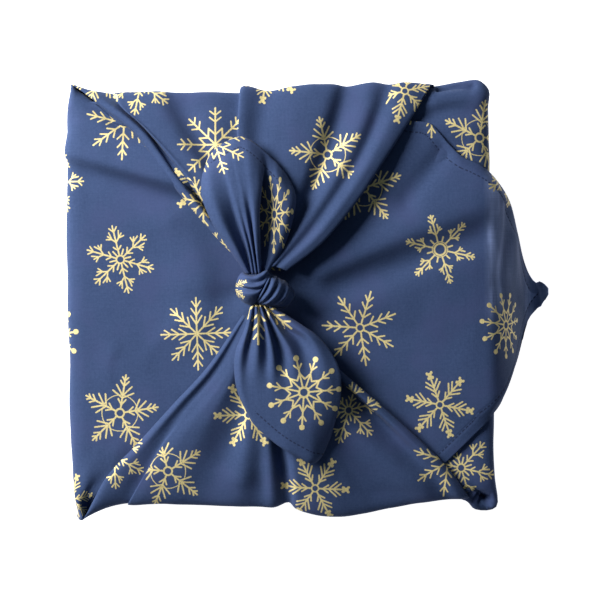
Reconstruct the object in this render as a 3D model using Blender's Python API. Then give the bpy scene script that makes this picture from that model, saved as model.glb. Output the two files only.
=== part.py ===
"""A flat gift box wrapped in a square furoshiki cloth, knotted on top with two ear-like ends.

The cloth is one solid: a floor sheet under the box, four sides that rise from it, and what each side
becomes on top.  The left side crosses the top and hangs past the right edge, the right side lies under
it, and the back and front sides are gathered into bands that meet in the knot.
Sizes are in millimetres and are turned into metres by MM.  +X is right, +Y is back, +Z is up.
"""
import math
from collections import namedtuple

import bmesh
import bpy
from mathutils import Vector

MM = 0.001

# The box and how the cloth lies on it
BOX_WIDTH = 246.0
BOX_DEPTH = 237.0
BOX_HEIGHT = 46.0
BOX_EDGE = 3.0
CENTRE_Y = -1.0
CLOTH = 1.2
LAYER = 1.7
REST_GAP = 0.3
EDGE_CLEAR = 2.0

FLOOR_Z = CLOTH / 2
BOX_Z = CLOTH + REST_GAP
HALF_X = BOX_WIDTH / 2 - BOX_EDGE
HALF_Y = BOX_DEPTH / 2 - BOX_EDGE
FOOT_Z = BOX_Z + BOX_EDGE
HEAD_Z = BOX_Z + BOX_HEIGHT - BOX_EDGE
INNER_REACH = BOX_EDGE + EDGE_CLEAR + CLOTH / 2
OUTER_REACH = INNER_REACH + LAYER
LEFT_LEVEL = HEAD_Z + INNER_REACH
BAND_LEVEL = HEAD_Z + OUTER_REACH
RIGHT_LEVEL = BOX_Z + BOX_HEIGHT + REST_GAP + CLOTH / 2

# The left corner of the cloth: where its hems run, and how it droops past the right edge
HEM_SUM = 195.0
TIP_HALF = 2.5
FLAP_RISE = 2.4
LEFT_TUCK = 7.0
LEFT_SAG = 1.4
DROOP_START = 119.0
DROOP = ((0, 0), (6, 14), (13, 38), (22, 62), (58, 64), (64, 42), (70, 4), (76, 0))

# The bands: sections from the box edge to the knot, as y, left x, right x
BACK_BAND = (
    (114.5, -106.0, 84.5),
    (103.0, -89.0, 76.5),
    (75.0, -68.0, 57.0),
    (40.0, -39.5, 30.5),
    (8.0, -14.0, 2.0),
)
FRONT_BAND = (
    (-116.5, -106.5, 105.5),
    (-98.0, -94.5, 91.5),
    (-76.0, -76.5, 64.5),
    (-50.0, -47.5, 32.5),
    (-31.0, -27.0, 16.0),
    (-5.0, -15.0, -1.0),
)
KNOT_RISE = 5.0
BAND_LIFT = 1.0
ROLL_LEAST = 1.4
ROLL_MOST = 4.0
TUCK = 9.0
TUCK_ROWS = 4
TUCK_GAP = 0.4
EDGE_PROBE = 0.01

# The ears: sections from the knot to the tip, as y, left x, right x, height of the sides, height of the crown
UPPER_EAR = (
    (10.0, -14.0, -1.0, 63.0, 67.5),
    (26.0, -26.0, 5.5, 65.5, 72.0),
    (41.0, -38.0, 10.5, 65.0, 74.0),
    (55.0, -41.0, 11.0, 63.5, 73.0),
    (68.0, -42.0, 8.0, 62.0, 70.0),
    (79.0, -37.5, 3.5, 60.5, 67.0),
    (89.0, -30.5, -5.5, 59.5, 63.0),
    (96.0, -20.0, -15.0, 59.0, 60.0),
)
LOWER_EAR = (
    (-5.0, -13.0, -4.0, 63.0, 66.0),
    (-22.0, -17.0, 9.0, 65.5, 70.0),
    (-36.0, -22.5, 24.0, 65.0, 71.5),
    (-54.0, -25.0, 31.0, 63.5, 70.5),
    (-72.0, -22.5, 30.5, 62.8, 68.0),
    (-84.0, -14.0, 28.0, 61.8, 65.5),
    (-93.0, -1.0, 24.5, 60.5, 62.5),
    (-101.5, 14.5, 19.5, 59.0, 59.8),
)
EAR_ROLL = 2.6
EAR_ROLL_ENDS = 0.8

# The knot: the turn that passes over its top, and the collar round the upper ear.  Radii are along, across, up.
KnotTurn = namedtuple("KnotTurn", "name centre radii heading pleats depth")
KNOT_TURNS = (
    KnotTurn("knot_over", (-3.5, 2.0, 62.5), (12.0, 13.0, 12.5), 62, 9, 0.07),
    KnotTurn("knot_collar", (-17.0, 4.5, 61.3), (11.0, 11.0, 10.3), 22, 6, 0.05),
)
KNOT_FULLNESS = 4.0

# Folds that run over a cloth: three points, then width and height at each end.  A fold with a lean
# is steep on the left of its way and slow on the right.
Fold = namedtuple("Fold", "cloth x0 y0 x1 y1 x2 y2 wide0 wide1 high0 high1 lean")
FOLDS = (
    Fold("left", -115, 84, -88, 76, -58, 62, 9, 7, -1.2, -1.4, 0.0),
    Fold("left", 110, 78, 74, 68, 24, 25, 14, 11, 3.2, 3.6, 0.0),
    Fold("left", 118, 55, 85, 52, 34, 14, 13, 10, -2.2, -2.2, 0.0),
    Fold("left", 60, 4, 40, 0, 18, -2, 18, 12, 1.5, 2.0, 0.0),
    Fold("right", 82, 96, 98, 104, 118, 108, 7, 8, 0.5, 2.2, 0.0),
    Fold("back", -113, 117, -66, 68, -18, 12, 6, 7, 3.4, 2.0, 0.0),
    Fold("back", -88, 104, -60, 72, -38, 44, 4, 3, -1.0, -3.0, 0.6),
    Fold("back", -62, 121, -50, 97, -36, 72, 7, 6, -1.6, -1.0, 0.0),
    Fold("back", -22, 123, -25, 102, -14, 40, 7, 6, 3.2, 2.0, 0.85),
    Fold("back", 41, 122, 21, 87, 6, 40, 8, 5, -1.8, -2.6, 0.0),
    Fold("back", 59, 122, 33, 78, 8, 26, 9, 5, 2.2, 2.6, 0.0),
    Fold("back", 84, 118, 52, 70, 4, 12, 7, 6, 3.4, 2.6, 0.0),
    Fold("front", -108, -122, -66, -68, -18, -10, 6, 6, 3.4, 2.0, 0.0),
    Fold("front", -93, -125, -78, -92, -40, -44, 5, 4, 2.6, 1.2, -0.7),
    Fold("front", -40, -118, -30, -80, -18, -30, 12, 6, 1.4, 2.0, 0.0),
    Fold("front", -5, -126, 1, -106, 0, -60, 9, 6, -2.0, -2.4, 0.0),
    Fold("front", 30, -126, 24, -90, 8, -30, 14, 6, 2.2, 2.4, 0.0),
    Fold("front", 109, -120, 60, -72, 2, -14, 8, 6, 3.4, 2.4, 0.0),
    Fold("upper ear", -7, 76, -13.5, 42, -9, 18, 8, 4, -3.0, -7.0, 0.35),
    Fold("upper ear", -30, 60, -24, 36, -13, 18, 4, 2.5, -0.5, -2.5, 0.0),
    Fold("lower ear", 6, -60, -1, -40, -5, -18, 4, 2.5, -0.5, -3.0, 0.0),
    Fold("lower ear", 20, -52, 9, -34, -1, -18, 4, 2.5, -0.5, -3.0, 0.0),
)
FOLD_STEPS = 8

# How far the top edge of a band swells out over the side below it
Bulge = namedtuple("Bulge", "cloth x wide out")
BULGES = (
    Bulge("back", 30, 30, 3.4),
    Bulge("back", 80, 20, 1.4),
    Bulge("front", 36, 24, 6.0),
    Bulge("front", 0, 55, 2.6),
    Bulge("front", 68, 26, 1.4),
)
# Corner points that stand out where the side cloths are pinched together
BACK_LEFT_PINCH = (-124.0, 128.5)
FRONT_LEFT_PINCH = (-120.5, -132.5)
BACK_RIGHT_TOP_X = 91.0
FRONT_RIGHT_TOP_X = 109.0
FOOT_INSET = 1.5

# Mesh steps
HEAD_ANGLES = (0, 30, 60, 90)
LEFT_STEPS = 20
RIGHT_STEPS = 8
TOP_ROWS = (-108, -92, -76, -58, -36, -14, 6, 20, 34, 48, 62, 76, 90, 105, 119)
BAND_STEPS = 11
BAND_COLUMNS = (0, .04, .08, .13, .2, .28, .36, .41, .45, .49, .55, .62, .68, .73, .78, .83, .88, .92, .96, 1)
EAR_COLUMNS = 10
EAR_ROWS = 10
ROLL_TURNS = (50, 5, -40, -90)
LEFT_FLANGES = (12.0, 28.0)
RIGHT_FLANGES = (14.0, 32.0, 52.0)
RIGHT_RINGS = (14.0, 34.0, 60.0)

NAVY = (0.045, 0.075, 0.19, 1.0)
BOARD = (0.78, 0.76, 0.70, 1.0)


def clamp(value):
    return min(1.0, max(0.0, value))


def mix(a, b, share):
    return a + (b - a) * share


def smooth(value):
    value = clamp(value)
    return value * value * (3 - 2 * value)


def section(table, share):
    """The row at share (0 to 1) of the smooth curve through the rows of a table."""
    spans = len(table) - 1
    index = min(int(share * spans), spans - 1)
    u = share * spans - index
    rows = [table[max(0, min(spans, index + step))] for step in (-1, 0, 1, 2)]
    return [0.5 * (2 * b + (c - a) * u + (2 * a - 5 * b + 4 * c - d) * u ** 2 + (3 * b - a - 3 * c + d) * u ** 3)
            for a, b, c, d in zip(*rows)]


def fold_line(fold):
    """Points along a fold, which passes through its three given points."""
    points = []
    for step in range(FOLD_STEPS + 1):
        t = step / FOLD_STEPS
        weights = (2 * t * t - 3 * t + 1, 4 * t - 4 * t * t, 2 * t * t - t)
        points.append((sum(w * x for w, x in zip(weights, (fold.x0, fold.x1, fold.x2))),
                       sum(w * y for w, y in zip(weights, (fold.y0, fold.y1, fold.y2)))))
    return points


FOLD_LINES = [(fold, fold_line(fold)) for fold in FOLDS]


def lift(cloth, x, y):
    """How much the folds of a cloth raise it at x, y."""
    total = 0.0
    for fold, line in FOLD_LINES:
        if fold.cloth != cloth:
            continue
        near = None
        for index, ((ax, ay), (bx, by)) in enumerate(zip(line, line[1:])):
            dx, dy = bx - ax, by - ay
            along = clamp(((x - ax) * dx + (y - ay) * dy) / (dx * dx + dy * dy))
            away = math.hypot(x - ax - dx * along, y - ay - dy * along)
            if near is None or away < near[0]:
                side = 1 if dx * (y - ay) - dy * (x - ax) < 0 else -1
                near = (away, side, (index + along) / FOLD_STEPS)
        away, side, share = near
        wide = mix(fold.wide0, fold.wide1, share) * (1 + fold.lean * side)
        total += mix(fold.high0, fold.high1, share) * math.exp(-(away / wide) ** 2)
    return total


def left_height(x, y):
    """Middle of the left corner's cloth, on top of the box and of what the right side lays there."""
    inside = HALF_Y - abs(y - CENTRE_Y)
    over_right = LAYER * max(smooth((x - 84) / 34), smooth((x - 50) / 25) * smooth((32 - inside) / 18))
    loose = FLAP_RISE * smooth((x + 30) / 60) * smooth((118 - x) / 20) + lift("left", x, y)
    loose = max(loose * smooth((inside - 4) / 18), -LEFT_SAG * smooth((-20 - x) / 20))
    return LEFT_LEVEL + over_right + loose


def band_height(cloth, x, y):
    """Middle of a band's cloth, which climbs to the knot and stays clear of the cloth below."""
    table = BACK_BAND if cloth == "back" else FRONT_BAND
    share = clamp((y - table[-1][0]) / (table[0][0] - table[-1][0]))
    own = BAND_LEVEL + KNOT_RISE * (1 - share) ** 1.3 + lift(cloth, x, y)
    return max(own, left_height(x, y) + 2 * LAYER + BAND_LIFT)


def over_left(x, y):
    """The lowest that a cloth above the left corner's cloth may lie."""
    return left_height(x, y) + LAYER + TUCK_GAP


def swell(cloth, x):
    """How far the bulges of a band push its top edge out at x."""
    return sum(b.out * math.exp(-((x - b.x) / b.wide) ** 2) for b in BULGES if b.cloth == cloth)


def side_profile(reach):
    """Out and up from the floor sheet, round the foot, up the side and over the top edge."""
    rise = FOOT_Z - FLOOR_Z
    foot = [(reach * math.sin(math.radians(a)), FOOT_Z - rise * math.cos(math.radians(a))) for a in (0, 45, 90)]
    side = [(reach, mix(FOOT_Z, HEAD_Z, share)) for share in (0.09, 0.38, 0.69)]
    head = [(reach * math.cos(math.radians(a)), HEAD_Z + reach * math.sin(math.radians(a)))
            for a in HEAD_ANGLES]
    return foot + side + head


def weave(bm, rows):
    """Joins rows of points into faces.  A None is a place without cloth, and points that meet are one."""
    known = {tuple(round(c, 3) for c in v.co): v for v in bm.verts}
    grid = []
    for row in rows:
        line = []
        for point in row:
            key = None if point is None else tuple(round(c, 3) for c in point)
            if key is not None and key not in known:
                known[key] = bm.verts.new(point)
            line.append(known.get(key))
        grid.append(line)
    for low, high in zip(grid, grid[1:]):
        for a, b, c, d in zip(low, low[1:], high[1:], high):
            if None in (a, b, c, d):
                continue
            corners = list(dict.fromkeys((a, b, c, d)))
            if len(corners) > 2:
                bm.faces.new(corners)
    return grid


def side_columns(sign, steps, flanges):
    """Base point and outward direction for each column of a left or right side, with its turned corners."""
    straight = [mix(-HALF_Y, HALF_Y, step / steps) for step in range(steps + 1)]
    columns = []
    for end in (-1, 1):
        turned = [("corner", sign * HALF_X, end * HALF_Y, sign * math.cos(math.radians(a)),
                   end * math.sin(math.radians(a))) for a in (30, 60, 90)]
        turned += [("flange", sign * (HALF_X - reach), end * HALF_Y, 0.0, float(end)) for reach in flanges]
        columns.append(turned)
    middle = [("side", sign * HALF_X, y, float(sign), 0.0) for y in straight]
    return columns[0][::-1] + middle + columns[1]


def side_rows(columns, profile):
    """Points of a side, row by row.  The flanges stay off the floor."""
    rows = []
    for index, (out, z) in enumerate(profile):
        row = []
        for kind, x, y, nx, ny in columns:
            if kind == "flange" and index < 3:
                row.append(None)
            else:
                row.append((x + nx * out, y + ny * out + CENTRE_Y, z))
        rows.append(row)
    return rows


def droop_path():
    """Run and fall of the left corner past the right edge, a pair for each row of DROOP but the first."""
    path = [(0.0, 0.0)]
    steps = 12
    for (d0, a0), (d1, a1) in zip(DROOP, DROOP[1:]):
        run, fall = path[-1]
        for step in range(steps):
            angle = math.radians(mix(a0, a1, (step + 0.5) / steps))
            run += (d1 - d0) / steps * math.cos(angle)
            fall += (d1 - d0) / steps * math.sin(angle)
        path.append((run, fall))
    return path[1:]


def left_cloth(bm):
    """Left side, the panel that crosses the top and the corner that hangs past the right edge."""
    columns = side_columns(-1, LEFT_STEPS, LEFT_FLANGES)
    rows = side_rows(columns, side_profile(INNER_REACH))
    sides = [y for kind, x, y, nx, ny in columns if kind == "side"]
    ends = (len(columns) - len(sides)) // 2

    def top_row(x_flat, place):
        tucked = HALF_Y - LEFT_TUCK * smooth((x_flat + HALF_X - LEFT_FLANGES[-1]) / 20)
        half = max(TIP_HALF, min(tucked, HEM_SUM - x_flat))
        line = [place(y / HALF_Y * half + CENTRE_Y * half / HALF_Y) for y in sides]
        return [None] * ends + line + [None] * ends

    for x in TOP_ROWS:
        rows.append(top_row(x, lambda y: (x, y, left_height(x, y))))
    for (distance, _), (run, fall) in zip(DROOP[1:], droop_path()):
        rows.append(top_row(DROOP_START + distance, lambda y: (
            DROOP_START + run, y, max(FLOOR_Z + 0.05, left_height(DROOP_START, y) - fall))))
    weave(bm, rows)


def right_cloth(bm):
    """Right side, its turned corners and what of it lies on top, under the left corner."""
    columns = side_columns(1, RIGHT_STEPS, RIGHT_FLANGES)
    rows = side_rows(columns, side_profile(INNER_REACH))
    for ring in RIGHT_RINGS:
        row = []
        for kind, x, y, nx, ny in columns:
            x_in = x - ring if kind != "flange" else x - ring * x / HALF_X
            y_in = y * (HALF_Y - ring) / HALF_Y + CENTRE_Y
            z = mix(LEFT_LEVEL, RIGHT_LEVEL, smooth(ring / RIGHT_RINGS[1])) + lift("right", x_in, y_in)
            row.append((x_in, y_in, z))
        rows.append(row)
    weave(bm, rows)


def edge_ways(table, share):
    """For the left and the right edge of a table at share: its x, and its outward direction in plan."""
    y, left, right = section(table, share)[:3]
    y_near, left_near, right_near = section(table, max(0.0, share - EDGE_PROBE))[:3]
    ways = []
    for sign, edge_x, near_x in ((-1, left, left_near), (1, right, right_near)):
        out = Vector((y_near - y, edge_x - near_x)).normalized()
        ways.append((edge_x, out if out.x * sign > 0 else -out))
    return ways


def roll_under(edge_x, y, top, out, roll, floor):
    """Points round a rolled edge from its top to its underside, kept above floor(x, y)."""
    points = []
    for turn in ROLL_TURNS:
        reach = roll * math.cos(math.radians(turn))
        x, y_out = edge_x + out.x * reach, y + out.y * reach
        z = top - roll + roll * math.sin(math.radians(turn))
        points.append((x, y_out, max(z, floor(x, y_out))))
    return points


def band(bm, cloth, table, pinch, right_top_x):
    """A back or front side and the band that it becomes, with its edges rolled under."""
    end = 1 if cloth == "back" else -1
    rows = []
    profile = side_profile(OUTER_REACH)
    rolls = len(ROLL_TURNS) + 1
    head = profile[-1][1]
    for out, z in profile:
        share = smooth((z - FLOOR_Z) / (head - FLOOR_Z))
        row = [None] * rolls
        turned = 1 - out / OUTER_REACH if z > HEAD_Z else 0.0
        left_top = mix(pinch[0], table[0][1], turned)
        right_top = mix(right_top_x, table[0][2], turned)
        for a in BAND_COLUMNS:
            foot_x = mix(-HALF_X + FOOT_INSET, HALF_X - FOOT_INSET, a)
            x = mix(foot_x, mix(left_top, right_top, a), share)
            stand = (end * pinch[1] - end * CENTRE_Y - HALF_Y - OUTER_REACH) * (1 - a) ** 10
            grow = (stand + swell(cloth, x)) * share * clamp(out / OUTER_REACH * 1.6)
            row.append((x, end * (HALF_Y + out + grow) + CENTRE_Y, z))
        rows.append(row + [None] * rolls)
    for step in range(1, BAND_STEPS + 1):
        y, left, right = section(table, step / BAND_STEPS)
        row = [(mix(left, right, a), y) for a in BAND_COLUMNS]
        row = [(x, y, band_height(cloth, x, y)) for x, y in row]
        tuck = min(TUCK * step / TUCK_ROWS, TUCK, 0.3 * (right - left))
        for edge_x, out in edge_ways(table, step / BAND_STEPS):
            top = band_height(cloth, edge_x, y)
            roll = min(ROLL_MOST, max(ROLL_LEAST, (top - over_left(edge_x, y)) / 2))
            turned = roll_under(edge_x, y, top, out, roll, over_left)
            tuck_x, tuck_y = edge_x - out.x * tuck, y - out.y * tuck
            roof = band_height(cloth, tuck_x, tuck_y) - LAYER - TUCK_GAP
            turned.append((tuck_x, tuck_y, max(over_left(tuck_x, tuck_y), min(top - 2 * roll, roof))))
            if step == 1:
                turned = [None] * rolls
            row = turned[::-1] + row if out.x < 0 else row + turned
        rows.append(row)
    weave(bm, rows)


def floor_sheet(bm):
    """The flat sheet under the box, edged by the first row of every side."""
    z = FLOOR_Z
    left = [(-HALF_X, mix(-HALF_Y, HALF_Y, s / LEFT_STEPS) + CENTRE_Y, z) for s in range(LEFT_STEPS + 1)]
    back = [(mix(-HALF_X + FOOT_INSET, HALF_X - FOOT_INSET, a), HALF_Y + CENTRE_Y, z) for a in BAND_COLUMNS]
    right = [(HALF_X, mix(HALF_Y, -HALF_Y, s / RIGHT_STEPS) + CENTRE_Y, z) for s in range(RIGHT_STEPS + 1)]
    front = [(x, 2 * CENTRE_Y - y, z) for x, y, z in back[::-1]]
    bm.faces.new([bm.verts.new(point) for point in left + back + right + front])


def ear(bm, cloth, table, band_cloth):
    """One free end of the cloth: rolled at its sides near the knot and flat at its hemmed tip."""
    def over_band(x, y):
        return band_height(band_cloth, x, y) + LAYER + TUCK_GAP

    rows = []
    rolls = len(ROLL_TURNS)
    for step in range(EAR_ROWS + 1):
        share = step / EAR_ROWS
        y, left, right, side_z, crown_z = section(table, share)
        row = []
        for column in range(EAR_COLUMNS + 1):
            a = column / EAR_COLUMNS
            x = mix(left, right, a)
            z = mix(side_z, crown_z, math.sin(math.pi * a)) + lift(cloth, x, y)
            row.append((x, y, max(z, band_height(band_cloth, x, y) + LAYER)))
        roll = EAR_ROLL * math.sin(math.pi * clamp(share / EAR_ROLL_ENDS)) ** 0.5
        for (edge_x, out), (_, _, top) in zip(edge_ways(table, max(share, EDGE_PROBE * 2)), (row[0], row[-1])):
            roll = min(roll, max(ROLL_LEAST, (top - over_band(edge_x, y)) / 2))
            turned = roll_under(edge_x, y, top, out, roll, over_band)
            if roll < ROLL_LEAST or share > EAR_ROLL_ENDS:
                turned = [None] * rolls
            row = turned[::-1] + row if out.x < 0 else row + turned
        rows.append(row)
    weave(bm, rows)


def knot_turn(bm, centre, radii, heading, pleats, depth):
    """A rounded turn of the knot.  Its pleats run along its heading and close at its two ends."""
    made = bmesh.ops.create_uvsphere(bm, u_segments=27, v_segments=9, radius=1.0)["verts"]
    turn = math.radians(heading)
    for v in made:
        along = v.co.z
        girth = math.sqrt(max(0.0, 1 - abs(along) ** KNOT_FULLNESS) / max(1e-6, 1 - along * along))
        size = girth * (1 + depth * math.cos(pleats * math.atan2(v.co.y, v.co.x)) * (1 - along ** 2))
        across, up = v.co.x * radii[1] * size, v.co.y * radii[2] * size
        if abs(along) > 0.999:
            across = up = 0.0
        ahead = along * radii[0]
        v.co = (centre[0] + ahead * math.cos(turn) - across * math.sin(turn),
                centre[1] + ahead * math.sin(turn) + across * math.cos(turn), centre[2] + up)
    bmesh.ops.recalc_face_normals(bm, faces=bm.faces[:])


def material(name, color, roughness):
    made = bpy.data.materials.new(name)
    made.use_nodes = True
    shader = made.node_tree.nodes["Principled BSDF"]
    shader.inputs["Base Color"].default_value = color
    shader.inputs["Roughness"].default_value = roughness
    shader.inputs["Metallic"].default_value = 0.0
    return made


def add_object(name, bm, look, smooth_angle=50):
    bmesh.ops.scale(bm, vec=(MM, MM, MM), verts=bm.verts)
    mesh = bpy.data.meshes.new(name)
    bm.to_mesh(mesh)
    bm.free()
    mesh.materials.append(look)
    mesh.shade_smooth()
    mesh.set_sharp_from_angle(angle=math.radians(smooth_angle))
    made = bpy.data.objects.new(name, mesh)
    bpy.context.collection.objects.link(made)
    return made


def thicken(made):
    modifier = made.modifiers.new("Cloth thickness", "SOLIDIFY")
    modifier.thickness = CLOTH * MM
    modifier.offset = 0.0
    modifier.use_even_offset = True
    modifier.use_rim = True


def helper(made):
    made.hide_render = True
    made.display_type = "WIRE"


def fuse(made, other):
    modifier = made.modifiers.new("Join " + other.name, "BOOLEAN")
    modifier.operation = "UNION"
    modifier.solver = "EXACT"
    modifier.object = other
    helper(other)


def make_box(look):
    bm = bmesh.new()
    bmesh.ops.create_cube(bm, size=1.0)
    bmesh.ops.scale(bm, vec=(BOX_WIDTH, BOX_DEPTH, BOX_HEIGHT), verts=bm.verts)
    bmesh.ops.translate(bm, vec=(0, CENTRE_Y, BOX_Z + BOX_HEIGHT / 2), verts=bm.verts)
    bmesh.ops.bevel(bm, geom=bm.edges[:], offset=BOX_EDGE, segments=3, affect="EDGES", profile=0.5)
    return add_object("gift_box", bm, look)


def make_cloth(look):
    bm = bmesh.new()
    floor_sheet(bm)
    left_cloth(bm)
    right_cloth(bm)
    band(bm, "back", BACK_BAND, BACK_LEFT_PINCH, BACK_RIGHT_TOP_X)
    band(bm, "front", FRONT_BAND, FRONT_LEFT_PINCH, FRONT_RIGHT_TOP_X)
    bmesh.ops.recalc_face_normals(bm, faces=bm.faces[:])
    cloth = add_object("wrap_cloth", bm, look)
    thicken(cloth)
    for name, table, under in (("upper ear", UPPER_EAR, "back"), ("lower ear", LOWER_EAR, "front")):
        bm = bmesh.new()
        ear(bm, name, table, under)
        made = add_object(name.replace(" ", "_"), bm, look)
        thicken(made)
        fuse(cloth, made)
    for turn in KNOT_TURNS:
        bm = bmesh.new()
        knot_turn(bm, turn.centre, turn.radii, turn.heading, turn.pleats, turn.depth)
        fuse(cloth, add_object(turn.name, bm, look))
    return cloth


def main():
    for old in list(bpy.data.objects):
        bpy.data.objects.remove(old, do_unlink=True)
    make_box(material("gift board", BOARD, 0.8))
    make_cloth(material("navy cotton", NAVY, 0.85))


main()
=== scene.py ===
"""Dresses the wrapped gift box: one printed cotton cloth with its bands, knot and ears, and the board box.

The cloth is made of nets.  A net is lofted over a few lines, each a crown, valley or edge of the cloth that
runs the way the cloth was pulled, and a grid is then moved onto it.  Sizes are in millimetres, in the part's
own frame, and are turned into metres by MM.  +X is right, +Y is back, +Z is up.
"""
import math
from collections import namedtuple

import bmesh
import bpy
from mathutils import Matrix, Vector, noise


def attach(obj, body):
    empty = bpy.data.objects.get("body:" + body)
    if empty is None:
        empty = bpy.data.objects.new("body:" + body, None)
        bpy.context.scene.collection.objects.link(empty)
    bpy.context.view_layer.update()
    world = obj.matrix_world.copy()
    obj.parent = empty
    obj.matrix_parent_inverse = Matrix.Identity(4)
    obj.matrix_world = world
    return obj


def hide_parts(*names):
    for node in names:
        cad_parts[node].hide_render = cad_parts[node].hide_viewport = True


MM = 0.001

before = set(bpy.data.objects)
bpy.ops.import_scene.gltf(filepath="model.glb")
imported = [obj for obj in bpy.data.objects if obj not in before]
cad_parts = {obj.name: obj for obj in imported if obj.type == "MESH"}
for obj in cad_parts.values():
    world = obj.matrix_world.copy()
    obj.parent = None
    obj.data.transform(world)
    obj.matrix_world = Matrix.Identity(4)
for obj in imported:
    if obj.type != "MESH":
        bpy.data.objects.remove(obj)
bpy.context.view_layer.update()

# The box, the heights that the layers of cloth lie at, and how far two of them keep above the box
CENTRE_Y = -1.0
HALF_X = 120.0
HALF_Y = 115.5
BOX_HALF_X = 123.2
BOX_HALF_Y = 118.7
BOX_TOP = 47.5
FLOOR_Z = 0.3
PANEL_Z = 50.1
RIGHT_Z = 49.6
LINING_Z = 49.3
UNDER_Z = 48.5
PANEL_GAP = 1.1
RIGHT_GAP = 0.8
FABRIC = 0.45
MERGE = 0.02

# How the camera stands over the part
LOOK_AT = (11.35, -3.2)
LOOK_PLANE = 50.0
CAMERA_STAND = 1050.0
PICTURE_SIDE = 360.0
SENSOR = 36.0
CAMERA_TURN = -0.9

# Light, in metres and watts, and the floor under the part
WINDOW = (-0.66, 0.39, 0.49)
WINDOW_AIM = (0.02, 0.0, 0.05)
WINDOW_SIZE = 0.45
WINDOW_POWER = 17.4
SKY = (0.66, 0.82, 1.0)
SKY_STRENGTH = 0.12
FLOOR_SIZE = 3.0
FLOOR_DROP = 0.0004

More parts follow.
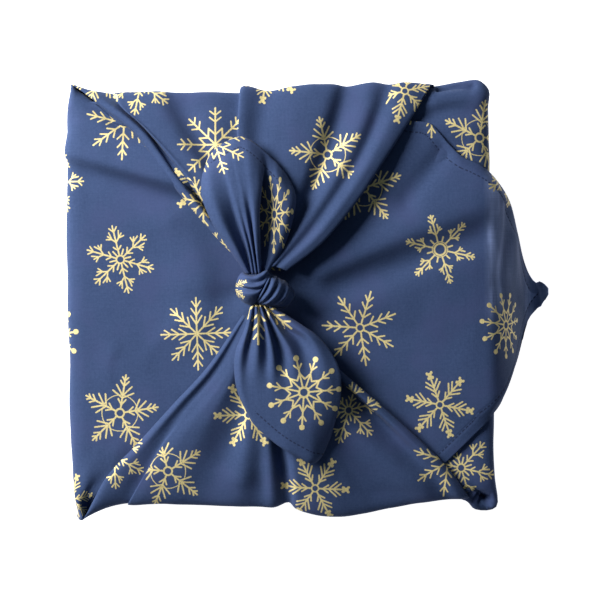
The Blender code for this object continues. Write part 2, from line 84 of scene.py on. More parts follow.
# A line of a band: six points from the box's edge to the knot
Line = namedtuple("Line", "name edge brow outer middle inner knot")
BACK_LINES = (
    Line("fold", (-123.6, 128.5, 48.5), (-106.5, 115.4, 52.4), (-84.5, 96.3, 53.2),
         (-63.9, 67.2, 54.4), (-41.6, 39.3, 56.6), (-20.4, 16.3, 59.6)),
    Line("strip", (-119.0, 126.7, 49.6), (-102.6, 114.6, 54.4), (-82.9, 97.5, 57.4),
         (-62.3, 68.4, 59.6), (-40.2, 40.5, 60.9), (-19.6, 16.9, 62.0)),
    Line("ledge", (-113.5, 124.9, 50.0), (-98.8, 114.2, 54.6), (-80.9, 98.7, 57.6),
         (-60.2, 69.9, 59.8), (-38.6, 41.6, 60.9), (-19.1, 17.3, 61.8)),
    Line("crease", (-98.8, 122.2, 48.4), (-93.6, 113.9, 50.8), (-79.4, 99.7, 51.0),
         (-58.2, 71.2, 50.9), (-37.0, 43.2, 51.4), (-18.4, 17.8, 57.0)),
    Line("lip", (-97.4, 122.5, 49.8), (-94.2, 114.8, 55.0), (-79.0, 100.4, 58.8),
         (-56.0, 73.2, 61.6), (-35.4, 44.5, 62.6), (-17.8, 18.0, 62.4)),
    Line("brim", (-92.0, 122.6, 50.2), (-89.8, 113.6, 55.4), (-75.0, 98.0, 59.0),
         (-52.6, 73.0, 61.6), (-33.4, 45.2, 62.7), (-17.0, 17.8, 62.8)),
    Line("crown", (-70.7, 122.8, 50.6), (-68.1, 111.6, 55.2), (-58.6, 95.1, 58.6),
         (-43.3, 72.6, 61.0), (-29.4, 46.1, 62.6), (-15.0, 17.4, 63.2)),
    Line("valley", (-61.8, 122.2, 48.6), (-57.6, 109.9, 51.4), (-48.7, 94.5, 54.2),
         (-38.1, 74.4, 57.4), (-26.5, 47.9, 60.2), (-14.1, 17.4, 62.0)),
    Line("slack", (-42.0, 122.4, 49.0), (-40.5, 111.0, 52.8), (-36.5, 94.5, 55.8),
         (-30.0, 74.6, 58.4), (-22.5, 47.9, 60.8), (-13.5, 17.4, 62.2)),
    Line("pleat foot", (-21.2, 122.0, 48.2), (-22.4, 112.0, 51.0), (-23.4, 96.0, 53.4),
         (-21.8, 74.9, 56.6), (-18.2, 47.8, 59.8), (-12.7, 17.4, 61.8)),
    Line("pleat", (-22.2, 124.4, 50.8), (-23.4, 112.8, 55.2), (-24.2, 96.4, 57.6),
         (-22.4, 74.7, 60.4), (-18.4, 47.7, 62.2), (-12.3, 17.3, 63.0)),
    Line("pleat top", (-18.6, 125.2, 51.2), (-20.0, 113.2, 55.8), (-21.4, 96.3, 58.2),
         (-20.2, 74.6, 60.8), (-17.0, 47.4, 62.4), (-11.9, 17.3, 63.2)),
    Line("hollow", (-6.0, 122.2, 49.2), (-9.5, 112.2, 53.0), (-12.9, 93.0, 55.8),
         (-13.8, 70.0, 58.8), (-12.4, 45.6, 61.2), (-10.6, 17.3, 62.4)),
    Line("shoulder", (8.3, 124.8, 50.6), (3.2, 113.0, 54.8), (-0.5, 89.4, 58.0),
         (-4.2, 65.4, 60.6), (-7.5, 43.4, 62.4), (-9.1, 17.3, 63.2)),
    Line("brink", (33.0, 125.4, 50.8), (29.6, 112.8, 54.9), (20.6, 87.6, 57.9),
         (12.4, 64.2, 60.6), (2.2, 41.6, 62.4), (-7.8, 17.3, 63.1)),
    Line("trough", (41.0, 124.4, 48.4), (37.4, 111.7, 51.2), (28.2, 85.7, 53.4),
         (19.0, 62.8, 56.4), (6.4, 39.8, 59.2), (-6.5, 17.3, 62.0)),
    Line("swell", (56.6, 126.3, 50.4), (53.4, 111.3, 55.2), (42.4, 85.2, 58.6),
         (28.4, 61.0, 61.4), (12.0, 37.4, 63.2), (-4.3, 16.9, 63.6)),
    Line("notch", (66.4, 124.8, 49.2), (61.4, 110.6, 52.8), (49.8, 84.2, 56.4),
         (34.2, 59.8, 60.0), (16.4, 35.8, 62.0), (-2.6, 16.6, 62.8)),
    Line("spine", (75.0, 126.0, 50.6), (68.8, 108.3, 56.0), (55.0, 81.4, 59.6),
         (39.4, 57.4, 62.4), (20.6, 34.0, 64.4), (0.2, 15.8, 64.0)),
    Line("shelf", (84.4, 125.2, 50.0), (74.6, 106.6, 55.8), (58.8, 79.3, 59.4),
         (42.4, 55.6, 62.2), (22.8, 32.0, 64.2), (1.8, 15.0, 63.8)),
    Line("edge", (92.6, 124.3, 48.8), (79.8, 104.9, 54.2), (61.8, 77.8, 57.6), (45.2, 53.9, 60.6),
         (24.6, 30.2, 63.0), (3.4, 14.2, 63.0)),
)
FRONT_LINES = (
    Line("fold", (-121.4, -133.4, 47.0), (-106.4, -107.9, 52.4), (-85.6, -85.9, 53.4),
         (-65.4, -64.3, 54.6), (-44.7, -42.8, 56.6), (-22.7, -11.6, 59.6)),
    Line("strip", (-118.2, -130.8, 48.6), (-103.4, -108.9, 53.6), (-82.8, -87.2, 55.6),
         (-63.2, -65.4, 57.8), (-42.9, -43.6, 60.2), (-21.4, -12.0, 61.4)),
    Line("slack", (-107.0, -126.0, 48.6), (-94.2, -109.6, 53.0), (-78.6, -88.8, 54.9),
         (-60.4, -67.4, 56.6), (-40.2, -44.6, 58.8), (-20.4, -12.2, 61.2)),
    Line("pleat foot", (-92.6, -123.3, 48.0), (-83.4, -108.8, 52.4), (-73.0, -89.6, 54.7),
         (-57.8, -68.8, 57.0), (-37.8, -45.2, 59.3), (-19.4, -12.2, 61.4)),
    Line("pleat", (-93.6, -124.0, 49.4), (-84.6, -108.6, 54.2), (-73.2, -90.0, 55.8),
         (-55.8, -69.9, 57.8), (-35.8, -46.1, 60.2), (-18.8, -12.2, 61.6)),
    Line("pleat top", (-90.5, -124.2, 49.8), (-82.0, -109.0, 54.6), (-70.6, -90.8, 56.4),
         (-53.6, -70.9, 58.5), (-33.8, -47.2, 60.9), (-18.2, -12.2, 61.8)),
    Line("cheek", (-71.6, -123.9, 50.2), (-66.9, -110.2, 54.8), (-56.8, -91.6, 57.6),
         (-44.5, -72.5, 59.8), (-30.3, -48.8, 61.6), (-16.7, -12.2, 62.2)),
    Line("dip", (-45.0, -125.3, 49.0), (-41.4, -112.3, 52.8), (-34.8, -95.6, 53.8),
         (-27.4, -76.8, 56.0), (-21.8, -51.6, 59.0), (-15.2, -12.3, 61.6)),
    Line("crown", (-27.0, -126.1, 50.2), (-25.2, -113.8, 55.0), (-22.8, -98.1, 57.8),
         (-20.0, -78.8, 60.0), (-17.4, -53.2, 61.6), (-13.9, -12.3, 62.2)),
    Line("left gully", (-13.6, -126.6, 49.2), (-13.8, -113.3, 52.4), (-13.8, -99.7, 56.0),
         (-13.2, -80.3, 59.4), (-12.6, -55.1, 61.2), (-12.5, -12.3, 61.8)),
    Line("rib", (-6.4, -127.1, 50.0), (-6.8, -115.4, 54.8), (-7.4, -102.2, 57.6),
         (-8.4, -81.4, 59.9), (-9.2, -55.1, 61.5), (-11.3, -12.3, 62.0)),
    Line("gully", (2.6, -124.6, 47.2), (1.6, -113.4, 49.9), (0.4, -102.0, 50.9),
         (-2.8, -82.9, 54.8), (-5.8, -55.2, 59.4), (-10.2, -12.3, 61.2)),
    Line("wall", (6.8, -127.8, 49.8), (6.4, -115.5, 55.2), (5.4, -99.6, 58.8), (3.4, -81.6, 60.9),
         (0.4, -55.2, 62.2), (-8.0, -12.4, 62.5)),
    Line("wall top", (14.0, -130.6, 50.2), (12.5, -117.0, 55.6), (11.0, -100.6, 59.0),
         (8.0, -81.8, 61.0), (3.2, -55.4, 62.3), (-7.0, -12.4, 62.5)),
    Line("sweep", (33.3, -133.2, 50.0), (29.9, -118.2, 55.2), (25.3, -101.7, 58.4),
         (17.8, -81.7, 60.8), (9.3, -55.4, 62.3), (-5.4, -12.4, 62.5)),
    Line("furrow", (70.0, -127.6, 48.8), (58.0, -117.5, 52.2), (46.0, -104.0, 54.8),
         (32.0, -86.5, 57.8), (17.0, -58.5, 60.4), (-2.8, -12.6, 61.6)),
    Line("back of roll", (88.0, -125.0, 50.2), (83.4, -117.0, 54.8), (66.0, -102.0, 57.4),
         (44.0, -81.2, 59.4), (23.8, -58.4, 61.4), (-0.8, -13.6, 62.4)),
    Line("crease", (99.5, -124.0, 48.8), (91.4, -112.6, 52.2), (73.6, -92.8, 52.8),
         (52.4, -70.0, 51.0), (30.8, -50.2, 53.2), (1.0, -14.4, 61.0)),
    Line("spine", (106.0, -123.8, 50.0), (96.0, -108.6, 55.8), (76.4, -88.8, 58.8),
         (54.2, -67.8, 60.4), (32.4, -48.0, 61.8), (2.4, -15.2, 62.8)),
    Line("edge", (111.1, -123.2, 48.0), (99.0, -106.0, 53.0), (79.3, -85.6, 56.0),
         (56.8, -65.0, 57.8), (34.6, -45.6, 60.0), (4.0, -16.1, 62.2)),
)
BAND_STEPS = (5, 8, 12, 12, 12, 11)
WALL_STEPS = (2, 2, 5, 5)
BAND_TUCK = 18.0
BAND_DROP = 3.4
TUCK_MIDDLE = 0.3
# About how wide a face is across a band and across an ear, the fewest faces between two lines, and the
# faces of an edge that is turned under
BAND_FACE = 2.6
EAR_FACE = 1.5
LEAST_FACES = 4
TUCK_STEPS = [2, 2]
PRINT_BREAKS = ("lip", "pleat", "notch")

# An ear's line: six points from the knot to the free edge
EarLine = namedtuple("EarLine", "name knot neck waist belly cheek tip")
UPPER_EAR = (
    EarLine("left edge", (-20.0, 12.5, 61.0), (-28.5, 25.3, 63.0), (-39.3, 42.5, 64.5),
            (-45.0, 56.8, 65.0), (-45.5, 68.7, 64.5), (-43.7, 76.5, 63.0)),
    EarLine("left crown", (-18.5, 12.5, 63.0), (-25.0, 25.6, 68.4), (-34.0, 43.4, 71.4),
            (-39.4, 58.6, 72.0), (-41.4, 71.6, 69.4), (-41.8, 81.5, 63.6)),
    EarLine("left valley", (-17.4, 12.5, 61.6), (-20.4, 26.8, 63.2), (-25.6, 43.8, 66.6),
            (-29.4, 59.6, 71.0), (-33.4, 75.2, 70.2), (-36.6, 87.6, 62.8)),
    EarLine("left rib", (-16.2, 12.5, 63.5), (-18.8, 27.4, 68.8), (-23.4, 45.4, 72.4),
            (-27.2, 61.8, 73.4), (-31.2, 77.2, 71.4), (-33.6, 89.8, 63.4)),
    EarLine("second valley", (-15.2, 12.5, 62.4), (-17.5, 28.0, 67.4), (-21.4, 46.4, 72.6),
            (-24.8, 63.4, 73.8), (-28.2, 78.6, 71.8), (-29.8, 91.8, 63.2)),
    EarLine("crown", (-14.2, 12.5, 64.0), (-16.4, 28.6, 69.8), (-19.4, 47.4, 73.6),
            (-22.4, 64.6, 74.4), (-25.0, 79.4, 72.0), (-26.2, 93.2, 63.5)),
    EarLine("valley", (-13.4, 12.5, 62.0), (-15.1, 28.9, 66.0), (-17.2, 47.8, 71.8),
            (-19.4, 65.2, 74.4), (-21.2, 79.8, 72.0), (-22.4, 94.0, 63.2)),
    EarLine("lobe", (-12.6, 12.5, 64.0), (-13.9, 29.4, 71.0), (-14.8, 48.8, 75.0),
            (-15.2, 65.6, 75.4), (-16.4, 79.6, 72.2), (-18.4, 92.9, 63.6)),
    EarLine("overhang", (-11.6, 12.6, 63.5), (-11.8, 29.5, 69.5), (-11.6, 49.2, 72.8),
            (-10.4, 64.0, 73.0), (-9.6, 76.4, 69.0), (-12.8, 89.4, 63.4)),
    EarLine("crease", (-11.4, 12.6, 61.0), (-12.6, 29.2, 61.6), (-13.4, 48.8, 61.8),
            (-11.6, 62.0, 63.4), (-8.0, 72.8, 67.0), (-7.0, 84.1, 63.0)),
    EarLine("lobe foot", (-10.6, 12.8, 61.4), (-9.4, 29.0, 62.6), (-8.2, 48.2, 63.6),
            (-6.2, 61.2, 66.4), (-4.6, 71.6, 67.8), (-4.2, 81.2, 63.0)),
    EarLine("right lobe", (-9.6, 13.0, 62.4), (-5.6, 29.0, 65.4), (-1.6, 47.8, 67.8),
            (0.4, 60.0, 69.8), (-0.4, 69.6, 68.8), (-0.8, 77.8, 63.4)),
    EarLine("right crown", (-8.6, 13.0, 62.8), (-0.8, 28.3, 66.4), (5.1, 47.6, 68.6),
            (7.0, 58.2, 68.2), (5.9, 65.5, 66.2), (4.2, 71.6, 63.4)),
    EarLine("right edge", (-7.8, 13.0, 61.0), (1.2, 26.6, 64.0), (7.4, 44.2, 65.2),
            (9.6, 56.0, 65.2), (8.8, 62.0, 64.4), (7.1, 66.8, 63.0)),
)
LOWER_EAR = (
    EarLine("left edge", (-17.4, -4.5, 60.5), (-21.2, -18.6, 63.5), (-26.8, -32.7, 64.5),
            (-28.0, -45.1, 64.8), (-26.2, -57.5, 63.6), (-20.6, -70.6, 61.5)),
    EarLine("left crown", (-16.6, -4.5, 62.5), (-19.6, -19.0, 67.6), (-23.8, -33.2, 69.4),
            (-25.2, -46.4, 69.0), (-23.6, -59.8, 67.4), (-17.4, -75.6, 64.6)),
    EarLine("left valley", (-15.6, -4.5, 61.0), (-17.2, -19.2, 64.2), (-19.8, -34.0, 66.8),
            (-20.6, -48.4, 68.6), (-18.6, -63.2, 68.0), (-12.8, -80.6, 65.4)),
    EarLine("rib", (-14.6, -4.5, 63.0), (-14.2, -19.3, 69.0), (-14.4, -34.4, 71.0),
            (-15.0, -49.6, 70.2), (-13.6, -65.2, 68.8), (-8.2, -84.8, 66.2)),
    EarLine("second valley", (-13.4, -4.5, 61.5), (-10.6, -19.4, 64.6), (-9.4, -34.6, 67.4),
            (-9.6, -50.4, 70.0), (-9.0, -67.2, 69.2), (-4.2, -88.0, 66.8)),
    EarLine("crown", (-12.6, -4.5, 63.5), (-8.2, -19.4, 68.8), (-5.4, -34.8, 71.4),
            (-5.0, -51.0, 71.0), (-4.8, -68.8, 69.6), (-0.4, -90.6, 67.2)),
    EarLine("valley", (-11.6, -4.6, 60.8), (-5.6, -19.6, 62.4), (-0.4, -34.6, 65.0),
            (1.4, -50.4, 69.6), (1.6, -70.4, 70.0), (3.6, -93.2, 67.4)),
    EarLine("middle", (-10.6, -4.8, 62.5), (-2.4, -19.6, 68.2), (5.2, -34.2, 70.4),
            (8.0, -52.0, 70.4), (8.8, -73.4, 70.0), (9.4, -96.4, 67.0)),
    EarLine("pocket", (-9.4, -5.0, 60.5), (0.6, -18.4, 61.8), (11.0, -27.4, 63.8),
            (17.2, -48.0, 69.4), (17.9, -75.5, 69.4), (16.8, -100.0, 65.6)),
    EarLine("right crown", (-8.0, -5.4, 62.5), (5.6, -17.2, 67.8), (17.8, -27.0, 70.0),
            (26.0, -47.5, 70.4), (27.2, -73.3, 67.4), (22.4, -96.8, 61.5)),
    EarLine("right edge", (-6.4, -6.0, 61.0), (9.8, -16.4, 64.6), (24.8, -28.2, 65.8),
            (33.6, -44.6, 67.4), (34.2, -62.1, 66.0), (28.6, -83.7, 61.4)),
)
EAR_STEPS = (9, 11, 10, 9, 8)
EAR_TUCK = 3.5
EAR_DROP = 2.6
EAR_TUCK_MIDDLE = 0.9
EAR_THICK = 1.2
LINING_STEPS = (2, 3, 3, 1, 2, 3, 5, 5, 5, 5)
EAR_LINING_STEPS = (5, 6, 6, 5, 4)

# The left sheet, row by row: x and height of its middle, then its front and its back end
LeftRow = namedtuple("LeftRow", "x z front back steps")
LEFT_ROWS = (
    LeftRow(-118.0, 0.4, (-119.5, -116.0, 0.4), (-119.5, 114.0, 0.4), 2),
    LeftRow(-123.6, 1.3, (-123.0, -119.6, 1.2), (-123.0, 117.6, 1.2), 2),
    LeftRow(-127.0, 6.0, (-124.8, -122.4, 5.6), (-124.8, 120.2, 5.6), 5),
    LeftRow(-129.6, 26.0, (-125.6, -128.0, 24.0), (-125.4, 123.6, 24.0), 5),
    LeftRow(-129.2, 41.0, (-125.2, -132.4, 40.0), (-124.8, 127.4, 41.0), 5),
    LeftRow(-127.3, 48.0, (-121.4, -133.4, 47.0), (-123.6, 128.5, 48.5), 3),
    LeftRow(-122.6, 49.8, (-120.4, -130.4, 38.0), (-120.6, 125.4, 45.6), 3),
    LeftRow(-114.6, 50.1, (-114.6, -121.0, 46.0), (-114.6, 121.0, 45.6), 4),
    LeftRow(-106.4, 50.1, (-106.8, -110.4, 49.4), (-106.4, 114.2, 46.4), 6),
    LeftRow(-94.0, 50.1, (-94.0, -97.0, 49.0), (-94.0, 103.8, 48.2), 8),
    LeftRow(-70.0, 50.1, (-70.0, -96.0, 48.8), (-70.0, 98.0, 48.8), 12),
    LeftRow(-36.0, 50.1, (-36.0, -100.0, 49.0), (-36.0, 100.0, 49.0), 9),
    LeftRow(0.0, 50.1, (0.0, -106.0, 49.2), (0.0, 106.0, 49.2), 10),
    LeftRow(40.0, 50.4, (40.0, -109.0, 49.8), (40.0, 109.0, 49.8), 9),
    LeftRow(64.0, 50.8, (64.0, -109.6, 50.8), (64.0, 107.4, 50.8), 9),
    LeftRow(80.0, 51.2, (80.0, -108.4, 51.2), (78.0, 103.4, 51.8), 6),
    LeftRow(93.0, 51.5, (93.0, -105.0, 51.4), (91.0, 101.0, 52.0), 5),
    LeftRow(103.0, 51.5, (105.2, -94.7, 51.4), (101.8, 89.2, 51.6), 5),
    LeftRow(112.0, 51.4, (113.6, -86.6, 51.3), (110.0, 81.2, 51.4), 4),
    LeftRow(119.0, 51.2, (121.0, -79.5, 51.0), (119.4, 76.8, 51.0), 3),
    LeftRow(126.2, 50.5, (125.0, -74.6, 49.8), (125.0, 72.8, 49.6), 3),
    LeftRow(132.2, 46.8, (130.6, -68.2, 46.0), (131.4, 66.4, 45.4), 5),
    LeftRow(139.2, 37.6, (136.4, -57.4, 38.0), (139.4, 55.0, 36.6), 6),
    LeftRow(145.4, 23.8, (144.0, -42.6, 24.8), (145.6, 36.4, 24.0), 6),
    LeftRow(151.2, 10.6, (150.6, -24.6, 12.4), (150.4, 20.0, 13.0), 4),
    LeftRow(155.6, 5.4, (154.2, -16.4, 5.6), (155.2, 9.8, 5.6), 2),
    LeftRow(159.2, 4.2, (157.4, -12.4, 3.6), (159.2, 5.3, 4.2), 2),
    LeftRow(161.6, 4.0, (159.8, -9.6, 3.0), (161.5, 6.2, 3.8), 2),
    LeftRow(165.0, 3.4, (162.8, -6.0, 2.4), (165.2, 4.0, 3.0), 2),
    LeftRow(167.2, 2.4, (165.6, -2.2, 1.8), (166.8, 2.0, 2.2), 0),
)
LEFT_SHARES = (0.0, 0.012, 0.05, 0.13, 0.3, 0.5, 0.7, 0.87, 0.95, 0.988, 1.0)
LEFT_STEPS = (2, 4, 7, 13, 15, 15, 17, 10, 4, 2)
FLAT_EDGE = 119.0
# Its rows up to the left edge of the box, to where the free corner starts, and to the right edge, then the
# faces that the bend over the left edge takes, and the columns along each end that stay unwrinkled
EDGE_ROWS = 5
CORNER_ROWS = 14
HANG_ROWS = 19
BEND_STEPS = 6
CALM_COLUMNS = 7
# How much of a row its ends draw in: at the corners, and along the slit beside the back band
CORNER_HOLD = 0.05
SLIT_HOLD = 0.022
SLIT_X = -100.0
BEHIND_SLIT = (-110.0, 108.0, 48.2)
# The side bows out at its middle, by this much more than at its ends
WALL_BOW = 2.6
BOX_LEFT = -120.0
# Where light is painted into the hanging corner's colour as a lighter navy, for light through the cloth and
# for light on its tip, which lies in the box's shadow: strongly beside the box, less beyond it, and at its
# tip
PAINTED_LIGHT_FROM = 123
PAINTED_LIGHT_TO = 131
PAINTED_LIGHT_BEYOND = 0.28
TIP_FROM = 150
PAINTED_LIGHT_TIP = 2.0

# The right sheet: how far it stands out at each height, then how far each ring lies in from the edge
RIGHT_PROFILE = ((-1.0, 0.4), (3.4, 1.2), (5.8, 6.0), (6.4, 24.0), (6.4, 41.0), (4.4, 47.6))
RIGHT_RINGS = (3.0, 9.0, 20.0, 38.0, 62.0)
RIGHT_STEPS = (2, 2, 5, 4, 3, 3, 4, 5, 6, 6)
# Its columns: place on the box's rim, way out, how far the corner is pulled out, and steps to the next
RightColumn = namedtuple("RightColumn", "x y out_x out_y pull steps")
RIGHT_COLUMNS = (
    RightColumn(52.0, HALF_Y, 0.0, 1.0, 0.0, 7),
    RightColumn(76.0, HALF_Y, 0.0, 1.0, 0.6, 9),
    RightColumn(96.0, HALF_Y, 0.0, 1.0, 3.4, 7),
    RightColumn(109.0, HALF_Y, 0.0, 1.0, 6.0, 6),
    RightColumn(118.0, HALF_Y, 0.18, 0.98, 7.4, 4),
    RightColumn(HALF_X, HALF_Y, 0.72, 0.7, 4.2, 4),
    RightColumn(HALF_X, HALF_Y - 5, 1.0, 0.1, 0.4, 6),
    RightColumn(HALF_X, 92.0, 1.0, 0.0, 0.0, 10),
    RightColumn(HALF_X, 50.0, 1.0, 0.0, 0.0, 12),
    RightColumn(HALF_X, 0.0, 1.0, 0.0, 0.0, 12),
    RightColumn(HALF_X, -50.0, 1.0, 0.0, 0.6, 10),
    RightColumn(HALF_X, -92.0, 1.0, 0.0, 1.2, 6),
    RightColumn(HALF_X, -HALF_Y + 4, 1.0, -0.1, 1.4, 4),
    RightColumn(HALF_X, -HALF_Y, 0.5, -0.86, 9.4, 4),
    RightColumn(117.0, -HALF_Y, -0.1, -0.99, 8.4, 4),
    RightColumn(110.0, -HALF_Y, 0.0, -1.0, 3.0, 6),
    RightColumn(92.0, -HALF_Y, 0.0, -1.0, 0.0, 0),
)

# Soft folds of each flat sheet: three points, then width and height at each end.  A fold with a lean is
# steep on the left of its way and slow on the right, and one with a lean below 0 the other way round.
Fold = namedtuple("Fold", "x0 y0 x1 y1 x2 y2 wide0 wide1 high0 high1 lean")
FOLDS = {
    "left": (
        Fold(-134.0, 88.6, -98.0, 79.0, -60.0, 68.0, 8.5, 13.0, 4.0, 8.6, -0.55),
        Fold(-129.0, 76.0, -96.0, 66.0, -64.0, 55.0, 5.0, 7.0, -0.8, -1.0, 0.0),
        Fold(-106.0, 66.0, -90.0, 58.0, -66.0, 47.0, 6.0, 8.0, 0.5, 1.2, 0.3),
        Fold(-124.0, 115.0, -112.0, 108.0, -94.0, 97.0, 4.0, 6.0, 1.0, 0.7, -0.4),
        Fold(-124.0, 109.0, -112.0, 101.0, -96.0, 92.0, 5.0, 7.0, -1.0, -0.8, 0.0),
        Fold(-100.0, -32.0, -104.0, -45.0, -98.0, -64.0, 4.0, 4.0, 0.5, 0.2, 0.4),
        Fold(-84.0, -38.0, -76.0, -28.0, -62.0, -14.0, 4.0, 4.0, 0.2, 0.5, 0.4),
        Fold(-62.0, 46.0, -50.0, 20.0, -49.0, -16.0, 14.0, 16.0, 1.6, 3.6, 0.3),
        Fold(-66.0, -2.0, -46.0, -2.0, -20.0, 1.0, 8.0, 6.0, -0.4, -1.6, 0.0),
        Fold(-52.0, -54.0, -34.0, -30.0, -18.0, -8.0, 9.0, 9.0, 0.8, 2.8, 0.0),
        Fold(120.0, 51.5, 80.0, 37.0, 25.0, 13.5, 16.0, 9.0, 3.2, 4.8, 0.35),
        Fold(120.0, 34.0, 88.0, 22.0, 34.0, 3.0, 9.0, 8.0, -2.0, -2.6, 0.0),
        Fold(107.0, 93.0, 96.0, 80.0, 76.0, 57.0, 6.0, 7.0, -2.8, -2.0, 0.0),
        Fold(106.0, 92.0, 114.0, 79.0, 124.0, 70.0, 5.0, 5.0, 1.2, 1.0, 0.0),
        Fold(98.0, 16.0, 56.0, 0.0, 22.0, -4.0, 20.0, 10.0, 0.8, 1.6, 0.0),
        Fold(96.0, -34.0, 60.0, -22.0, 20.0, -8.0, 14.0, 8.0, -1.4, -2.0, 0.0),
        Fold(118.0, -68.0, 82.0, -54.0, 36.0, -24.0, 16.0, 10.0, 1.8, 2.4, 0.0),
        Fold(137.4, 50.0, 136.0, 28.0, 130.0, 4.0, 2.8, 3.2, -1.9, -0.8, 0.0),
        Fold(142.6, 34.0, 143.6, 14.0, 148.0, -6.0, 3.0, 3.0, 1.4, 0.8, 0.0),
        Fold(158.0, 8.0, 160.2, 0.0, 161.4, -8.0, 1.3, 1.3, 1.0, 1.4, 0.3),
    ),
    "right": (
        Fold(93.0, 126.5, 108.0, 129.4, 121.0, 129.0, 3.0, 3.4, 1.6, 2.8, 0.0),
        Fold(96.0, 124.2, 107.0, 125.2, 117.0, 124.8, 2.4, 2.8, -8.0, -5.0, 0.0),
        Fold(95.0, 115.0, 108.0, 116.0, 120.0, 115.0, 5.0, 5.0, 1.4, 2.0, 0.0),
        Fold(82.0, 104.0, 100.0, 109.0, 118.0, 110.0, 4.0, 5.0, -1.8, -1.2, 0.0),
        Fold(86.0, 96.0, 104.0, 98.0, 124.0, 96.0, 8.0, 8.0, 1.6, 1.2, 0.0),
        Fold(110.0, -121.5, 116.5, -123.0, 123.0, -124.6, 2.4, 2.8, -9.0, -9.0, 0.0),
        Fold(111.0, -123.0, 115.5, -126.0, 119.0, -130.5, 2.8, 3.4, -12.0, -18.0, 0.0),
        Fold(100.0, -104.0, 112.0, -108.0, 124.0, -112.0, 7.0, 6.0, 0.8, 1.0, 0.0),
    ),
}
FOLD_STEPS = 8

# The corner under the panel: x, height, half width and steps to the next row
BuriedRow = namedtuple("BuriedRow", "x z half steps")
BURIED_ROWS = (
    BuriedRow(100.0, 48.0, 108.0, 8),
    BuriedRow(0.0, 48.0, 110.0, 8),
    BuriedRow(-108.0, 48.0, 115.4, 2),
    BuriedRow(-116.0, 48.25, 114.6, 2),
    BuriedRow(-108.0, 48.55, 98.0, 5),
    BuriedRow(-60.0, 48.6, 50.0, 5),
    BuriedRow(-20.0, 48.6, 6.0, 0),
)

# The knot: lines along its pleats, each of five or six points, for the turn over it and its collar
KNOT_OVER = (
    ((-15.4, -3.3, 62.0), (-12.5, 0.4, 67.0), (-9.4, 5.4, 68.5), (-6.9, 10.1, 67.0), (-6.7, 12.6, 61.0)),
    ((-14.6, -4.3, 62.0), (-12.1, -1.0, 71.2), (-9.3, 3.7, 74.2), (-6.9, 8.7, 73.2), (-6.2, 11.9, 63.0)),
    ((-14.4, -4.6, 61.5), (-11.5, -1.2, 69.8), (-8.5, 3.7, 72.2), (-6.1, 8.7, 71.2), (-5.7, 11.5, 62.0)),
    ((-13.9, -5.0, 61.5), (-9.8, -2.2, 72.5), (-5.9, 2.6, 75.4), (-3.8, 7.6, 74.0), (-3.6, 11.2, 62.0)),
    ((-13.1, -5.3, 61.0), (-8.5, -3.4, 70.4), (-4.5, 1.2, 73.0), (-2.0, 6.6, 71.6), (-1.4, 10.3, 61.0)),
    ((-11.4, -5.9, 61.0), (-6.8, -4.4, 72.0), (-2.3, -0.1, 75.0), (0.3, 5.2, 72.8), (0.8, 9.1, 61.0)),
    ((-9.0, -6.5, 60.5), (-4.8, -5.2, 69.0), (-0.3, -1.2, 71.8), (2.3, 4.2, 70.0), (2.8, 8.3, 60.5)),
    ((-7.0, -6.9, 60.0), (-2.4, -5.5, 69.5), (2.1, -1.9, 72.3), (4.5, 2.8, 69.8), (4.6, 6.3, 60.0)),
    ((-4.3, -7.1, 59.5), (-0.4, -6.1, 65.6), (3.7, -2.6, 68.4), (5.8, 1.1, 66.6), (6.1, 4.2, 59.5)),
    ((-1.2, -7.6, 59.0), (1.9, -6.6, 64.5), (5.4, -3.6, 67.0), (7.4, -0.3, 65.0), (7.6, 2.1, 59.0)),
    ((1.8, -8.0, 57.0), (3.9, -6.7, 60.0), (6.4, -4.0, 62.0), (8.1, -1.3, 61.0), (8.3, 0.8, 57.0)),
    ((2.1, -7.4, 53.0), (3.5, -6.4, 54.0), (5.3, -3.6, 54.5), (6.7, -1.6, 54.0), (7.4, 0.1, 53.0)),
)
KNOT_COLLAR = (
    ((-22.4, 13.9, 60.0), (-19.2, 12.1, 63.0), (-15.8, 11.6, 64.0), (-12.4, 12.6, 65.0),
     (-9.3, 14.3, 64.0), (-7.7, 14.7, 60.0)),
    ((-24.0, 12.5, 62.0), (-20.1, 10.8, 70.0), (-15.6, 10.0, 72.2), (-11.6, 11.1, 73.2),
     (-8.3, 13.3, 71.5), (-6.8, 13.2, 64.0)),
    ((-25.3, 10.5, 61.5), (-20.8, 8.3, 69.2), (-15.7, 7.2, 70.8), (-10.9, 8.4, 71.4),
     (-7.7, 11.1, 70.0), (-6.5, 11.9, 64.0)),
    ((-26.2, 8.1, 61.0), (-21.1, 5.9, 70.6), (-15.7, 5.1, 73.4), (-10.9, 6.1, 73.4),
     (-7.7, 9.1, 71.2), (-6.5, 10.7, 64.0)),
    ((-26.6, 5.0, 61.0), (-20.9, 4.2, 67.8), (-16.8, 3.5, 70.4), (-12.4, 3.7, 71.4),
     (-9.0, 6.7, 70.4), (-6.9, 9.6, 64.0)),
    ((-26.3, 2.0, 61.0), (-21.6, 1.4, 70.0), (-17.5, 0.8, 72.6), (-13.4, 1.4, 72.4),
     (-10.4, 4.4, 71.0), (-7.5, 8.8, 64.0)),
    ((-25.5, -0.4, 60.5), (-21.7, -1.8, 66.6), (-18.3, -2.4, 68.6), (-15.2, -2.1, 68.4),
     (-12.2, 0.7, 67.8), (-9.0, 6.1, 63.0)),
    ((-23.7, -2.8, 59.0), (-20.9, -4.6, 62.0), (-18.5, -5.4, 63.0), (-16.1, -5.4, 63.0),
     (-14.0, -3.0, 63.0), (-11.1, 2.1, 61.0)),
    ((-22.5, -2.5, 54.0), (-20.8, -3.6, 55.0), (-18.7, -4.3, 55.0), (-16.7, -4.3, 55.0),
     (-14.9, -2.6, 56.0), (-12.8, 2.1, 56.0)),
)
KNOT_ALONG = 7
KNOT_ACROSS = 6

